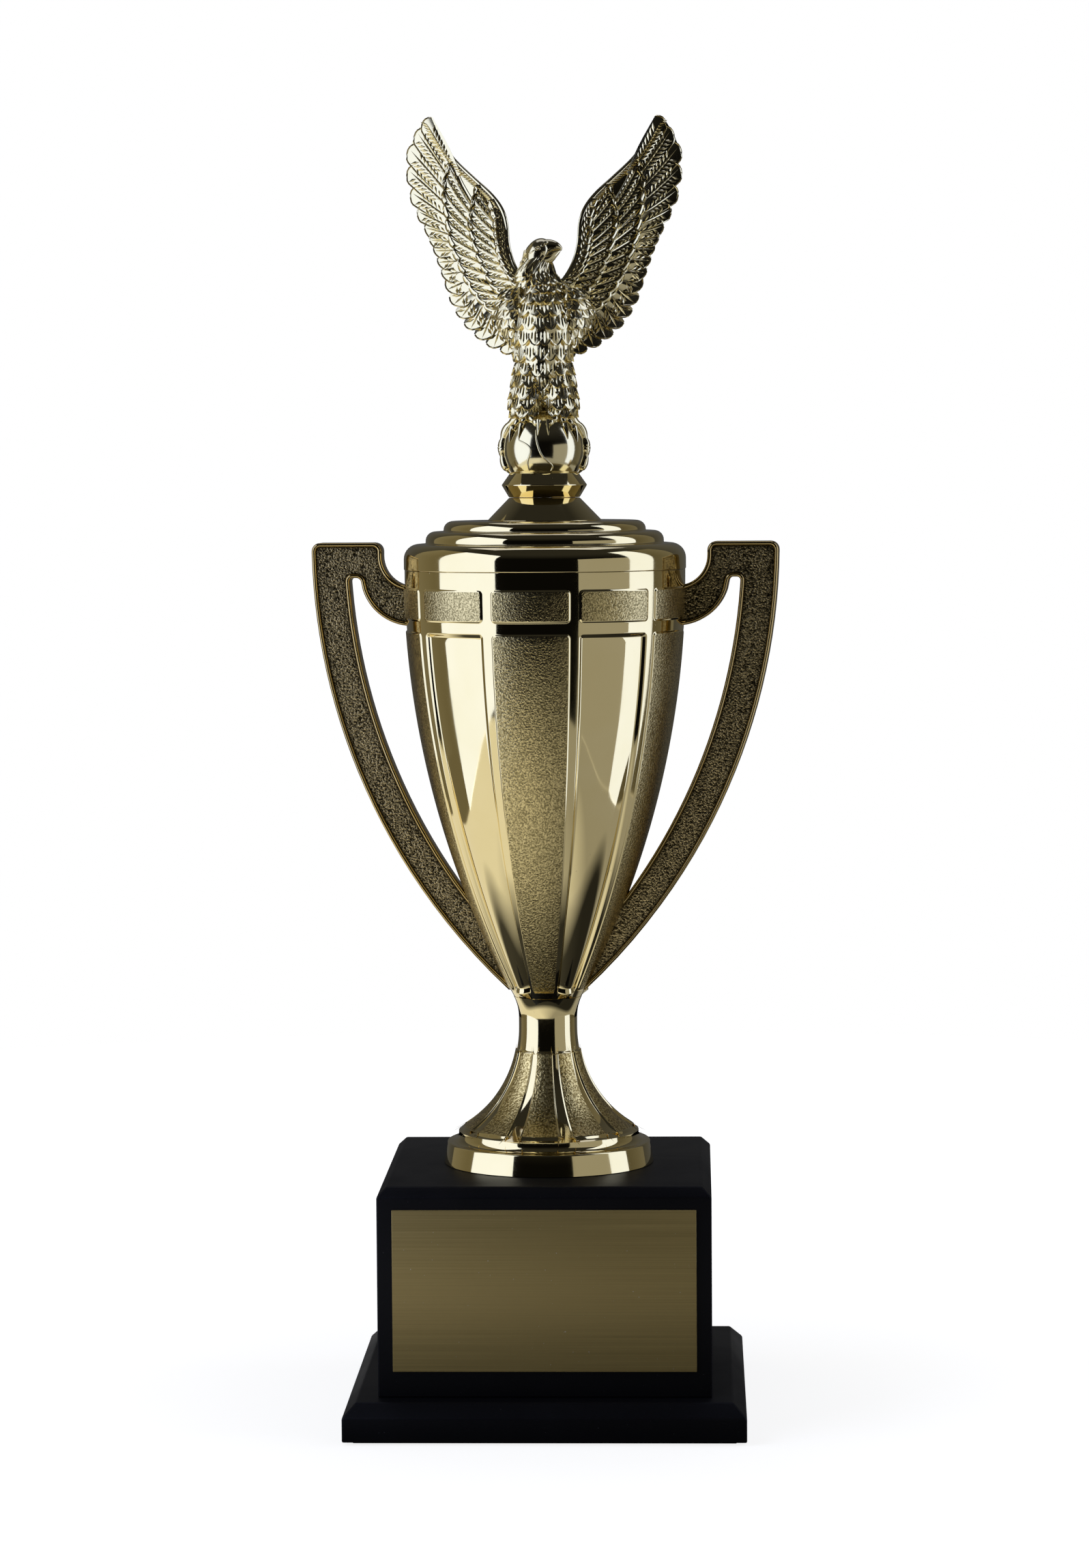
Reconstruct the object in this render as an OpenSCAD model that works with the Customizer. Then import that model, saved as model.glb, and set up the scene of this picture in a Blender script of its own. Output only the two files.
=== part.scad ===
// Cup trophy: a lidded two-handled cup on a two-tier square base, with a winged eagle on the lid.
// Millimetres, +Z up, front towards -Y, origin on the table under the middle of the base.

/* [Base] */
// Thickness of the felt under the base
felt_t = 0.8; // [0.5:0.1:2]
// Bare edge left round the felt
felt_margin = 3; // [2:0.5:12]
// Side of the square lower tier
plinth_w = 118; // [110:1:150]
// Height of the lower tier
plinth_h = 11.2; // [10.5:0.1:30]
// Bevel round the top of the lower tier
plinth_bevel = 4; // [1:0.1:6]
// Side of the square upper tier
block_w = 98; // [92:1:106]
// Height of the upper tier
block_h = 62; // [56:0.5:90]
// Bevel round the top of the upper tier
block_bevel = 2.8; // [1:0.1:5]

/* [Plate] */
// Width of the engraving plate
plate_w = 89; // [50:0.5:91]
// Height of the engraving plate
plate_h = 47.8; // [20:0.2:49]
// Thickness of the engraving plate
plate_t = 0.6; // [0.4:0.1:1.5]
// Drop from the lower edge of the block's bevel to the top of the plate
plate_drop = 3.6; // [1:0.1:5]
// Thickness of the double-sided tape behind the plate
tape_t = 0.2; // [0.1:0.05:0.5]
// Bare edge left round the tape
tape_margin = 2; // [1:0.5:8]

/* [Stem] */
// Turn of the cup on its base, seen from above
cup_turn = -4.2; // [-45:0.1:45]
// Radius of the foot ring where it stands on the block
foot_r = 31.7; // [31:0.1:40]
// Radius of the foot ring at its top
foot_top_r = 30.7; // [30:0.1:31]
// Height of the foot ring
foot_h = 6.6; // [4:0.1:12]
// Radius of the lip under the flare
lip_r = 27.2; // [24:0.1:28]
// Height of the hollow moulding from the foot ring up to the lip
cove_h = 2.4; // [1:0.1:3]
// Height of the lip
lip_h = 0.7; // [0.4:0.1:2]
// Height of the flare from the lip up to the neck
flare_h = 31.3; // [25:0.1:50]
// Radius of the neck
neck_r = 8.8; // [8:0.1:10]
// Height of the straight neck
neck_h = 3; // [1:0.1:30]
// Radius at the top of the stem
stem_top_r = 10.3; // [10.1:0.1:12]
// Height over which the neck opens to the top of the stem
stem_top_h = 6.4; // [3:0.1:12]
// Wall of the stem
stem_wall = 2.2; // [1.6:0.1:2.6]

/* [Bowl] */
// Height of the bowl
bowl_h = 128.6; // [110:0.2:160]
// Radius of the bowl at its rim
mouth_r = 42.1; // [38:0.1:44]
// Radius of the bowl at its foot
bowl_foot_r = 10.2; // [9.6:0.1:12]
// Wall of the bowl
bowl_wall = 2.2; // [1.8:0.1:3]
// Thickness of the bowl's floor
floor_t = 9.6; // [8:0.1:14]
// Depth of the spigot that locates the bowl in the stem
spigot_h = 4; // [2:0.5:8]

/* [Panels] */
// Number of panels round the cup, an even number
panel_count = 10; // [8:2:12]
// Angle between neighbouring panels
panel_gap = 3.2; // [2:0.1:6]
// Height by which the textured panels stand proud
panel_rise = 0.4; // [0.2:0.05:0.8]
// Depth of the polished panels
panel_sink = 0.6; // [0.2:0.05:1]
// Plain band under the rim
rim_band = 4.8; // [2:0.1:8]
// Height of the short upper panels
short_panel_h = 10; // [5:0.1:20]
// Plain strip between the short and the long panels
panel_strip = 2.9; // [1:0.1:6]
// Plain strip left below the long panels
panel_foot = 2; // [1:0.1:6]
// Height of the textured flutes on the stem, up from the lip
flute_h = 25; // [10:0.5:25]
// Angle between neighbouring flutes
flute_gap = 8; // [4:0.5:12]

/* [Handles] */
// Distance from the cup's axis to the outside of a handle
handle_reach = 70.3; // [66:0.1:80]
// Height of the handles' tops above the rim
handle_rise = 8.3; // [6:0.1:20]
// Thickness of a handle
handle_t = 7; // [6:0.1:12]
// Width of the bar at the top of a handle
bar_w = 11.1; // [8:0.1:13]
// Height of the bar across the top of a handle
bar_h = 10.6; // [6:0.1:14]
// Width of the slot between the bar and the upper arm
slot_w = 3.6; // [2.5:0.1:5]
// Thickness of the upper arm
arm_t = 6.6; // [4:0.1:8]
// Height of the upper arm where it meets the bowl
arm_root = 12; // [9:0.1:13]
// Height above the bowl's foot at which the inside of the bar meets the bowl
bar_join = 30.6; // [25:0.1:40]
// Thickness left at the lower tip of a handle
tip_t = 1.8; // [1:0.1:4]
// Width of the raised rim round a handle's faces
handle_rim = 1.7; // [1:0.1:2.4]
// Depth of the textured field inside that rim
handle_sink = 0.8; // [0.3:0.1:1.5]
// Width of the tabs that hold a handle in the bowl's wall
tab_w = 3; // [2:0.1:4]
// Height of those tabs
tab_h = 6; // [4:0.1:8]

/* [Lid] */
// Radius of the lid's lowest ring
rim_ring_r = 42.3; // [42:0.1:44]
// Height of the lid's lowest ring
rim_ring_h = 7.8; // [6:0.1:12]
// Radius of the lid's middle ring
mid_ring_r = 35.7; // [33:0.1:37]
// Height of the lid's middle ring
mid_ring_h = 3.7; // [3.2:0.1:6]
// Radius of the lid's top ring
top_ring_r = 30.3; // [26:0.1:32]
// Height of the lid's top ring
top_ring_h = 3.1; // [3:0.1:6]
// Rounding of the lowest ring
rim_round = 4.5; // [1:0.1:5]
// Rounding of the two upper rings
ring_round = 2.8; // [0.5:0.1:2.9]
// Wall of the lid
lid_wall = 2.2; // [1.6:0.1:2.8]
// Depth of the skirt that locates the lid in the bowl
skirt_h = 6; // [4:0.1:12]
// Thickness of that skirt
skirt_t = 1.8; // [1.2:0.1:3]

/* [Finial] */
// Radius of the cone on the lid at its foot
cone_r = 17.2; // [14:0.1:22]
// Height of the cone
cone_h = 6.8; // [5:0.1:12]
// Radius of the waist where the collar meets the cone
waist_r = 10.6; // [9:0.1:12]
// Radius of the collar's sharp edge
collar_r = 12.8; // [12.2:0.1:15]
// Height of the collar
collar_h = 7.4; // [4:0.1:12]
// Radius of the collar's flat top
seat_r = 10.2; // [9.6:0.1:11.4]
// Radius of the ball under the eagle
ball_r = 12.2; // [11.6:0.1:14]

/* [Eagle] */
// Span across the wings
wing_span = 83.6; // [60:0.2:110]
// Height of the wing tips above the hips
wing_rise = 74.6; // [50:0.2:90]
// Height of the hips above the middle of the ball
hip_h = 26.6; // [24:0.2:32]
// Height of the crown of the head above the middle of the ball
crown_h = 63.5; // [58:0.5:72]
// Width of the body at the breast
breast_w = 21; // [18:0.2:24]
// Depth of the body at the breast
breast_d = 18; // [15:0.2:22]
// Turn of the eagle on its stud, seen from above
eagle_turn = -1; // [-45:0.1:45]
// Distance the wings sweep back over half the span
wing_sweep = 17; // [0:0.5:24]
// Distance the wing tips lean back over their rise
wing_lean = 12; // [0:0.5:20]
// Thickness of a wing at its leading edge
wing_t = 3; // [2:0.1:6]
// Thickness of a wing at the feather tips
feather_t = 1.2; // [0.8:0.1:2]
// Number of long feathers along a wing's edge
feather_count = 18; // [8:1:24]
// Depth of the notches between those feathers
feather_notch = 1; // [0.5:0.1:2]
// Radius of a toe
toe_r = 1.4; // [1.2:0.1:2.2]

/* [Fixings] */
// Radius of the tie rod that clamps the cup to the base
rod_r = 3; // [2.5:0.1:3.4]
// Radius of the stud that holds the eagle on the lid
stud_r = 2.5; // [2:0.1:2.8]
// Depth of the stud's hole in the eagle, up from the middle of the ball
stud_rise = 21; // [15:0.5:24]
// Width of the nuts across their flats
nut_w = 10; // [8:0.1:11]
// Height of the nuts
nut_h = 5; // [3:0.1:5.4]
// Radius of the washers
washer_r = 8; // [6.5:0.1:9]
// Thickness of the washers
washer_t = 1.6; // [1:0.1:2]
// Length of thread left past each nut
thread_end = 1; // [0.5:0.1:1.4]
// Distance of the block's screws from its middle, along each side
screw_place = 30; // [22:0.5:40]
// Radius of the block's screws
screw_r = 2; // [1.5:0.1:2.5]
// Length of the block's screws
screw_len = 32; // [20:1:50]
// Radius of the screws' heads
screw_head_r = 4; // [3.2:0.1:5]

/* [Fits] */
// Clearance round rods, studs and screws
hole_fit = 0.3; // [0.2:0.05:0.5]
// Clearance round the spigot and the handles' tabs
seat_fit = 0.15; // [0.1:0.05:0.3]
// Clearance between a handle and the bowl's panels
handle_fit = 0.1; // [0.05:0.05:0.3]
// Clearance between the lid's skirt and the bowl
lid_fit = 0.35; // [0.3:0.05:0.6]
// Clearance between the toes and the ball
toe_fit = 0.15; // [0.1:0.01:0.3]
// Gap between faces that part or turn: lid on rim, collar on cone, washer under the lid
turn_fit = 0.1; // [0.05:0.05:0.3]

/* [Hidden] */
$fn = 96;
arc_fn = 360;
// Overlap that lets joined shapes fuse and cuts pass through a face
cut = 1;

// Levels, from the table up
plinth_z = felt_t;
block_z = plinth_z + plinth_h;
stem_z = block_z + block_h;
cove_z = stem_z + foot_h;
lip_z = cove_z + cove_h;
flare_z = lip_z + lip_h;
neck_z = flare_z + flare_h;
stem_top_z = neck_z + neck_h + stem_top_h;
bowl_z = stem_top_z;
floor_z = bowl_z + floor_t;
rim_z = bowl_z + bowl_h;
lid_z = rim_z + turn_fit;
lid_top_z = lid_z + rim_ring_h + mid_ring_h + top_ring_h;
lid_ceiling_z = lid_top_z - lid_wall;
cone_top_z = lid_top_z + cone_h;
collar_z = cone_top_z + turn_fit;
seat_z = collar_z + collar_h;

// The ball is cut flat where it sits on the collar
ball_flat_r = seat_r - seat_fit * 2;
ball_z = seat_z + sqrt(ball_r * ball_r - ball_flat_r * ball_flat_r);

// Radius of the arc that starts upright and runs dx sideways over a height dz
function arc_through(dx, dz) = (dx * dx + dz * dz) / (2 * dx);
// Distance that such an arc has run sideways after a height dz
function arc_run(r, dz) = r - sqrt(r * r - dz * dz);

flare_arc = arc_through(lip_r - neck_r, flare_h);
stem_top_arc = arc_through(stem_top_r - neck_r, stem_top_h);
bowl_arc = arc_through(mouth_r - bowl_foot_r, bowl_h);
function bowl_r(z) = mouth_r - arc_run(bowl_arc, rim_z - z);

// Panel levels
short_top_z = rim_z - rim_band;
short_z = short_top_z - short_panel_h;
long_top_z = short_z - panel_strip;
long_z = bowl_z + panel_foot;
panel_pitch = 360 / panel_count;
panel_turn = panel_pitch - panel_gap;

// Handle outline
handle_top_z = rim_z + handle_rise;
bar_r = handle_reach - bar_w;
tip_z = bowl_z + panel_foot;
join_z = bowl_z + bar_join;
handle_arc = arc_through(handle_reach - bowl_r(tip_z) - tip_t, handle_top_z - tip_z);
bar_arc = arc_through(bar_r - bowl_r(join_z), handle_top_z - join_z);
arm_axis_r = mouth_r - bowl_wall;
arm_out_r = bar_r - slot_w - arm_axis_r;
arm_in_r = arm_out_r - arm_t;
arm_top_z = rim_z - rim_band;
arm_low_z = arm_top_z - arm_root;
arm_tab_z = (arm_top_z + arm_low_z) / 2;
bar_tab_z = join_z - tab_h;

// Fixing levels
rod_hole_r = rod_r + hole_fit;
stud_hole_r = stud_r + hole_fit;
nut_r = nut_w / 2 / cos(30);
rod_recess_r = washer_r + hole_fit;
rod_recess_h = washer_t + nut_h + thread_end * 2;
rod_recess_z = plinth_z + rod_recess_h;
rod_low_z = rod_recess_z - washer_t - nut_h - thread_end;
rod_top_z = floor_z + washer_t + nut_h + thread_end;
lid_washer_z = lid_ceiling_z - turn_fit - washer_t;
stud_low_z = lid_washer_z - nut_h - thread_end;
stud_top_z = ball_z + stud_rise - thread_end;
spigot_r = neck_r - stem_wall - seat_fit;
screw_head_h = screw_head_r - screw_r;

// Eagle outline: each point is a share of half the span and of the rise of the wing
wing_lead = [[0.03, 0.25], [0.12, 0.3], [0.2, 0.375], [0.243, 0.46], [0.253, 0.54], [0.29, 0.61],
             [0.37, 0.672], [0.5, 0.738], [0.64, 0.815], [0.75, 0.9], [0.85, 0.99]];
wing_trail = [[0.05, 0.02], [0.2, 0], [0.36, 0.042], [0.53, 0.118], [0.655, 0.219], [0.74, 0.342],
              [0.8, 0.439], [0.868, 0.535], [0.97, 0.681], [0.99, 0.865], [0.87, 1]];
// Body stations: height as a share of the crown, then half width, half depth and lean back
// as shares of the breast's half width and half depth, and lean sideways as a share of the half width
body_stations = [[0.14, 0.5, 0.55, 0.1, 0], [0.24, 0.78, 0.78, 0.1, 0], [0.36, 0.86, 0.9, 0, 0],
                 [0.48, 0.95, 0.97, -0.05, 0], [0.6, 1, 1, -0.15, 0], [0.7, 0.88, 0.86, -0.15, -0.02],
                 [0.78, 0.62, 0.66, -0.1, -0.08], [0.84, 0.48, 0.55, -0.05, -0.14],
                 [0.9, 0.44, 0.5, -0.05, -0.17], [0.95, 0.4, 0.45, -0.05, -0.17],
                 [0.985, 0.26, 0.3, -0.05, -0.16], [1, 0.08, 0.1, -0.05, -0.15]];
// Place of the ankles on the ball: angle round it and angle down from its top
ankle_turn = -30;
ankle_down = 26;
// Toes of one foot: angle round the ball, angle down from its top where the toe ends, number of joints
toes = [[0, 118, 4], [-52, 62, 2], [-80, 60, 2], [60, 70, 2]];
// Angle that a claw runs on past its toe
claw_turn = 10;
body_sides = 20;
steps_per_feather = 4;
wing_rows = 6;
toe_fn = 8;
ball_cut_fn = 36;
thigh_fn = 16;

// A smooth curve through points: t runs from 0 at the first to 1 at the last
function smooth_at(p, t) =
    let (n = len(p) - 1, i = min(floor(t * n), n - 1), u = t * n - i,
         a = p[max(i - 1, 0)], b = p[i], c = p[i + 1], d = p[min(i + 2, n)])
    (2 * b + (c - a) * u + (2 * a - 5 * b + 4 * c - d) * u * u + (3 * b - a - 3 * c + d) * u * u * u) / 2;

// A closed skin over rings of points, all with the same number of points
module skin(rings) {
    n = len(rings[0]);
    last = len(rings) - 1;
    sides = [for (i = [0 : last - 1], j = [0 : n - 1])
        each [[i * n + j, (i + 1) * n + j, i * n + (j + 1) % n],
              [i * n + (j + 1) % n, (i + 1) * n + j, (i + 1) * n + (j + 1) % n]]];
    foot = [for (j = [0 : n - 1]) j];
    head = [for (j = [n - 1 : -1 : 0]) last * n + j];
    polyhedron([for (ring = rings) each ring], concat(sides, [foot, head]));
}

// A square tier with a bevel round its top
module tier(w, h, bevel) {
    outline = [[-w / 2, 0], [w / 2, 0], [w / 2, h - bevel], [w / 2 - bevel, h], [bevel - w / 2, h],
               [-w / 2, h - bevel]];
    intersection() {
        rotate([90, 0, 0]) linear_extrude(w, center = true) polygon(outline);
        rotate([90, 0, 90]) linear_extrude(w, center = true) polygon(outline);
    }
}

// The four places of the block's screws
module at_screws() {
    for (x = [-1, 1], y = [-1, 1])
        translate([x * screw_place, y * screw_place, plinth_z]) children();
}

// A countersunk wood screw pointing up, from its head's face
module wood_screw(grow) {
    cylinder(r = screw_r + grow, h = screw_len + grow);
    cylinder(r1 = screw_head_r + grow, r2 = screw_r + grow, h = screw_head_h);
}

module plinth() {
    color("#1c1b1c") difference() {
        translate([0, 0, plinth_z]) tier(plinth_w, plinth_h, plinth_bevel);
        translate([0, 0, plinth_z - cut]) cylinder(r = rod_hole_r, h = plinth_h + cut * 2);
        translate([0, 0, plinth_z - cut]) cylinder(r = rod_recess_r, h = rod_recess_h + cut);
        at_screws() wood_screw(hole_fit);
    }
}

module base_block() {
    color("#222123") difference() {
        translate([0, 0, block_z]) tier(block_w, block_h, block_bevel);
        translate([0, 0, block_z - cut]) cylinder(r = rod_hole_r, h = block_h + cut * 2);
        at_screws() wood_screw(hole_fit);
    }
}

module block_screws() {
    color("#8d8a80") at_screws() wood_screw(0);
}

module felt_pad() {
    felt_w = plinth_w - felt_margin * 2;
    color("#20302a") translate([-felt_w / 2, -felt_w / 2, 0]) cube([felt_w, felt_w, felt_t]);
}

// A slab on the front of the block, as large as the plate less an edge all round
module front_slab(edge, thickness, stand) {
    top_z = stem_z - block_bevel - plate_drop;
    translate([edge - plate_w / 2, -block_w / 2 - stand - thickness, top_z - plate_h + edge])
        cube([plate_w - edge * 2, thickness, plate_h - edge * 2]);
}

module engraving_plate() {
    color("#7d6c42") front_slab(0, plate_t, tape_t);
}

module plate_tape() {
    color("#d8d4c8") front_slab(tape_margin, tape_t, 0);
}

// Part of a turn of a section, centred on an angle
module sector(middle, angle) {
    rotate([0, 0, middle - angle / 2]) rotate_extrude(angle = angle) children();
}

// The middles of the cup's panels, the first one at the front
function panel_middle(i) = i * panel_pitch - 90;

// The space outside the stem's neck and flare, grown towards the axis by a wall
module stem_waist(wall) {
    translate([neck_r + flare_arc, neck_z]) circle(flare_arc + wall, $fn = arc_fn);
    translate([neck_r - wall, neck_z]) square([lip_r, neck_h]);
    translate([neck_r + stem_top_arc, neck_z + neck_h]) circle(stem_top_arc + wall, $fn = arc_fn);
}

module stem_outline() {
    polygon([[0, stem_z], [foot_r, stem_z], [foot_top_r, cove_z], [0, cove_z]]);
    difference() {
        translate([0, cove_z - cut]) square([lip_r + cove_h, cove_h + cut]);
        translate([lip_r + cove_h, lip_z]) circle(cove_h);
    }
    difference() {
        translate([0, lip_z - cut]) square([lip_r, stem_top_z - lip_z + cut]);
        stem_waist(0);
    }
}

module stem_hollow() {
    translate([0, stem_z - cut]) square([neck_r - stem_wall, stem_top_z - stem_z + cut * 2]);
    translate([0, stem_z - cut]) square([foot_top_r - stem_wall, foot_h - stem_wall + cut]);
    difference() {
        translate([0, stem_z]) square([lip_r - stem_wall, neck_z - stem_z]);
        stem_waist(stem_wall);
    }
}

// The raised skin of a flute
module flute_section() {
    intersection() {
        translate([0, flare_z]) square([lip_r, flute_h]);
        difference() {
            translate([neck_r + flare_arc, neck_z]) circle(flare_arc + stem_wall / 2, $fn = arc_fn);
            translate([neck_r + flare_arc, neck_z]) circle(flare_arc - panel_rise, $fn = arc_fn);
        }
    }
}

module stem() {
    color("#d9bb72") rotate([0, 0, cup_turn]) difference() {
        union() {
            rotate_extrude() stem_outline();
            for (i = [0 : panel_count - 1])
                sector(panel_middle(i), panel_pitch - flute_gap) flute_section();
        }
        rotate_extrude() stem_hollow();
    }
}

// The area inside the bowl's curve, moved out by grow, between two levels
module bowl_section(grow, low_z, high_z) {
    intersection() {
        translate([mouth_r - bowl_arc, rim_z]) circle(bowl_arc + grow, $fn = arc_fn);
        translate([0, low_z]) square([mouth_r + cut * 2, high_z - low_z]);
    }
}

// A skin along the bowl's curve, between two depths and two levels
module bowl_skin(inner, outer, low_z, high_z) {
    difference() {
        bowl_section(outer, low_z, high_z);
        bowl_section(inner, low_z - cut, high_z + cut);
    }
}

// The tabs of the handle at the cup's +X side, or the slots that take them
module handle_tabs(grow) {
    for (z = [arm_tab_z, bar_tab_z])
        translate([bowl_r(z) - bowl_wall, -tab_w / 2 - grow, z - tab_h / 2 - grow])
            cube([bowl_wall * 2, tab_w + grow * 2, tab_h + grow * 2]);
}

module bowl() {
    color("#dcc17c") rotate([0, 0, cup_turn]) difference() {
        union() {
            rotate_extrude() bowl_section(0, bowl_z, rim_z);
            translate([0, 0, bowl_z - spigot_h]) cylinder(r = spigot_r, h = spigot_h + cut);
            for (i = [0 : panel_count - 1])
                sector(panel_middle(i), panel_turn)
                    bowl_skin(-bowl_wall / 2, panel_rise, short_z, short_top_z);
            for (i = [0 : 2 : panel_count - 1])
                sector(panel_middle(i), panel_turn)
                    bowl_skin(-bowl_wall / 2, panel_rise, long_z, long_top_z);
        }
        for (i = [1 : 2 : panel_count - 1])
            sector(panel_middle(i), panel_turn) bowl_skin(-panel_sink, cut, long_z, long_top_z);
        rotate_extrude() bowl_section(-bowl_wall, floor_z, rim_z + cut);
        translate([0, 0, bowl_z - spigot_h - cut]) cylinder(r = rod_hole_r, h = spigot_h + floor_t + cut * 2);
        for (side = [0, 180])
            rotate([0, 0, side]) handle_tabs(seat_fit);
    }
}

// The flat outline of the handle at the cup's +X side, drawn in by an edge all round
module handle_outline(edge) {
    intersection() {
        translate([0, tip_z + edge]) square([handle_reach, handle_top_z - tip_z - edge * 2]);
        difference() {
            translate([handle_reach - handle_arc, handle_top_z]) circle(handle_arc - edge, $fn = arc_fn);
            translate([bar_r - bar_arc, handle_top_z]) circle(bar_arc + edge, $fn = arc_fn);
        }
    }
    difference() {
        translate([arm_axis_r + arm_in_r + edge, handle_top_z - bar_h + edge])
            square([bar_r + bar_w / 2 - arm_axis_r - arm_in_r - edge, bar_h - edge * 2]);
        translate([arm_axis_r, arm_top_z + arm_in_r]) circle(arm_in_r + edge);
    }
    intersection() {
        translate([arm_axis_r, arm_low_z]) square([bar_r, handle_top_z - bar_h / 2 - arm_low_z]);
        difference() {
            union() {
                translate([arm_axis_r, arm_low_z + arm_out_r]) circle(arm_out_r - edge);
                translate([arm_axis_r, arm_low_z + arm_out_r])
                    square([arm_out_r - edge, handle_top_z - arm_low_z - arm_out_r]);
            }
            translate([arm_axis_r, arm_top_z + arm_in_r]) circle(arm_in_r + edge);
            translate([0, arm_top_z + arm_in_r]) square([arm_axis_r + arm_in_r + edge, handle_rise + bar_h]);
        }
    }
}

// A flat shape stood upright along X, centred in depth
module upright(thickness) {
    rotate([90, 0, 0]) linear_extrude(thickness, center = true) children();
}

module handle(side) {
    rotate([0, 0, cup_turn + side]) {
        difference() {
            upright(handle_t) handle_outline(0);
            for (face = [-1, 1])
                translate([0, face * handle_t / 2, 0]) upright(handle_sink * 2) handle_outline(handle_rim);
            rotate_extrude() bowl_section(panel_rise + handle_fit, bowl_z - cut, rim_z + cut);
        }
        handle_tabs(0);
    }
}

module handle_left() {
    color("#b08c48") handle(180);
}

module handle_right() {
    color("#b08c48") handle(0);
}

// A washer or a nut standing on a level, with the hole for its rod
module washer(z, hole_r) {
    color("#b9b8b2") translate([0, 0, z]) difference() {
        cylinder(r = washer_r, h = washer_t);
        translate([0, 0, -cut]) cylinder(r = hole_r, h = washer_t + cut * 2);
    }
}

module nut(z, hole_r) {
    color("#a9a8a2") translate([0, 0, z]) difference() {
        cylinder(r = nut_r, h = nut_h, $fn = 6);
        translate([0, 0, -cut]) cylinder(r = hole_r, h = nut_h + cut * 2);
    }
}

module tie_rod() {
    color("#a9a8a2") translate([0, 0, rod_low_z]) cylinder(r = rod_r, h = rod_top_z - rod_low_z);
}

module rod_washer_top() {
    washer(floor_z, rod_hole_r);
}

module rod_nut_top() {
    nut(floor_z + washer_t, rod_r + seat_fit);
}

module rod_washer_bottom() {
    washer(rod_recess_z - washer_t, rod_hole_r);
}

module rod_nut_bottom() {
    nut(rod_recess_z - washer_t - nut_h, rod_r + seat_fit);
}

// The section of one of the lid's rings, from the axis out, with a rounded top edge
module ring_section(low_z, high_z, r, rounding) {
    translate([0, low_z]) square([r - rounding, high_z - low_z]);
    translate([0, low_z]) square([r, high_z - rounding - low_z]);
    translate([r - rounding, high_z - rounding]) intersection() {
        circle(rounding);
        square(rounding);
    }
}

module lid() {
    rim_top_z = lid_z + rim_ring_h;
    mid_top_z = rim_top_z + mid_ring_h;
    skirt_r = mouth_r - bowl_wall - lid_fit;
    skirt_z = rim_z - skirt_h;
    color("#dcc17c") rotate([0, 0, cup_turn]) rotate_extrude() difference() {
        union() {
            ring_section(lid_z, rim_top_z, rim_ring_r, rim_round);
            ring_section(lid_z, mid_top_z, mid_ring_r, ring_round);
            ring_section(lid_z, lid_top_z, top_ring_r, ring_round);
            translate([0, skirt_z]) square([skirt_r, lid_z - skirt_z + cut]);
        }
        translate([0, skirt_z - cut]) square([skirt_r - skirt_t, rim_top_z - lid_wall - skirt_z + cut]);
        translate([0, rim_z]) square([mid_ring_r - lid_wall, mid_top_z - lid_wall - rim_z]);
        translate([0, rim_z]) square([top_ring_r - lid_wall, lid_ceiling_z - rim_z]);
        square([stud_hole_r, lid_top_z + cut]);
    }
}

module finial_cone() {
    color("#dcc17c") rotate_extrude() difference() {
        polygon([[0, lid_top_z], [cone_r, lid_top_z], [waist_r, cone_top_z], [0, cone_top_z]]);
        polygon([[0, lid_top_z - cut], [cone_r - lid_wall * 2, lid_top_z - cut],
                 [waist_r - lid_wall, cone_top_z - lid_wall], [0, cone_top_z - lid_wall]]);
        square([stud_hole_r, cone_top_z + cut]);
    }
}

module finial_collar() {
    color("#dcc17c") rotate_extrude() difference() {
        polygon([[0, collar_z], [waist_r, collar_z], [collar_r, (collar_z + seat_z) / 2], [seat_r, seat_z],
                 [0, seat_z]]);
        square([stud_hole_r, seat_z + cut]);
    }
}

module perch_ball() {
    color("#d8c793") difference() {
        translate([0, 0, ball_z]) sphere(r = ball_r);
        translate([-ball_r, -ball_r, seat_z - ball_r * 2]) cube(ball_r * 2);
        translate([0, 0, seat_z - cut]) cylinder(r = stud_hole_r, h = ball_r * 2 + cut * 2);
    }
}

// Rings of the eagle's body, from the legs to the crown
function body_ring(s) =
    [for (j = [0 : body_sides - 1])
        let (a = j * 360 / body_sides)
        [breast_w / 2 * (s[1] * cos(a) + s[4]), breast_d / 2 * (s[2] * sin(a) + s[3]), crown_h * s[0]]];

// Outline, fore and aft place and thickness of a wing
// t runs from root to tip, v from front edge to feather tips
function wing_edge(p, t) = let (q = smooth_at(p, t)) [q[0] * wing_span / 2, q[1] * wing_rise + hip_h];
function feather_wave(t) = abs(sin(t * feather_count * 180));
function wing_point(t, v, face) =
    let (lead = wing_edge(wing_lead, t), trail = wing_edge(wing_trail, t),
         reach = v * (1 - feather_notch * v * (1 - feather_wave(t)) / max(norm(trail - lead), feather_notch)),
         q = lead + (trail - lead) * reach,
         back = wing_sweep * q[0] * 2 / wing_span + wing_lean * (q[1] - hip_h) / wing_rise - breast_d / 8,
         half = (wing_t + (feather_t - wing_t) * v) / 2 * (1 - 0.25 * v * (1 - feather_wave(t))))
    [q[0], back + face * half, q[1]];
function wing_ring(t) = concat([for (k = [0 : wing_rows]) wing_point(t, k / wing_rows, -1)],
                               [for (k = [wing_rows : -1 : 0]) wing_point(t, k / wing_rows, 1)]);

module wing() {
    steps = feather_count * steps_per_feather;
    skin([for (i = [0 : steps]) wing_ring(i / steps)]);
}

// A point on the ball at an angle round it and an angle down from its top
function on_ball(turn, down, stand) =
    (ball_r + stand) * [sin(down) * cos(turn), sin(down) * sin(turn), cos(down)];

// A bead of a toe, on the ball
module toe_bead(turn, down, stand, r) {
    translate(on_ball(turn, down, stand)) sphere(r = r, $fn = toe_fn);
}

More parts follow.
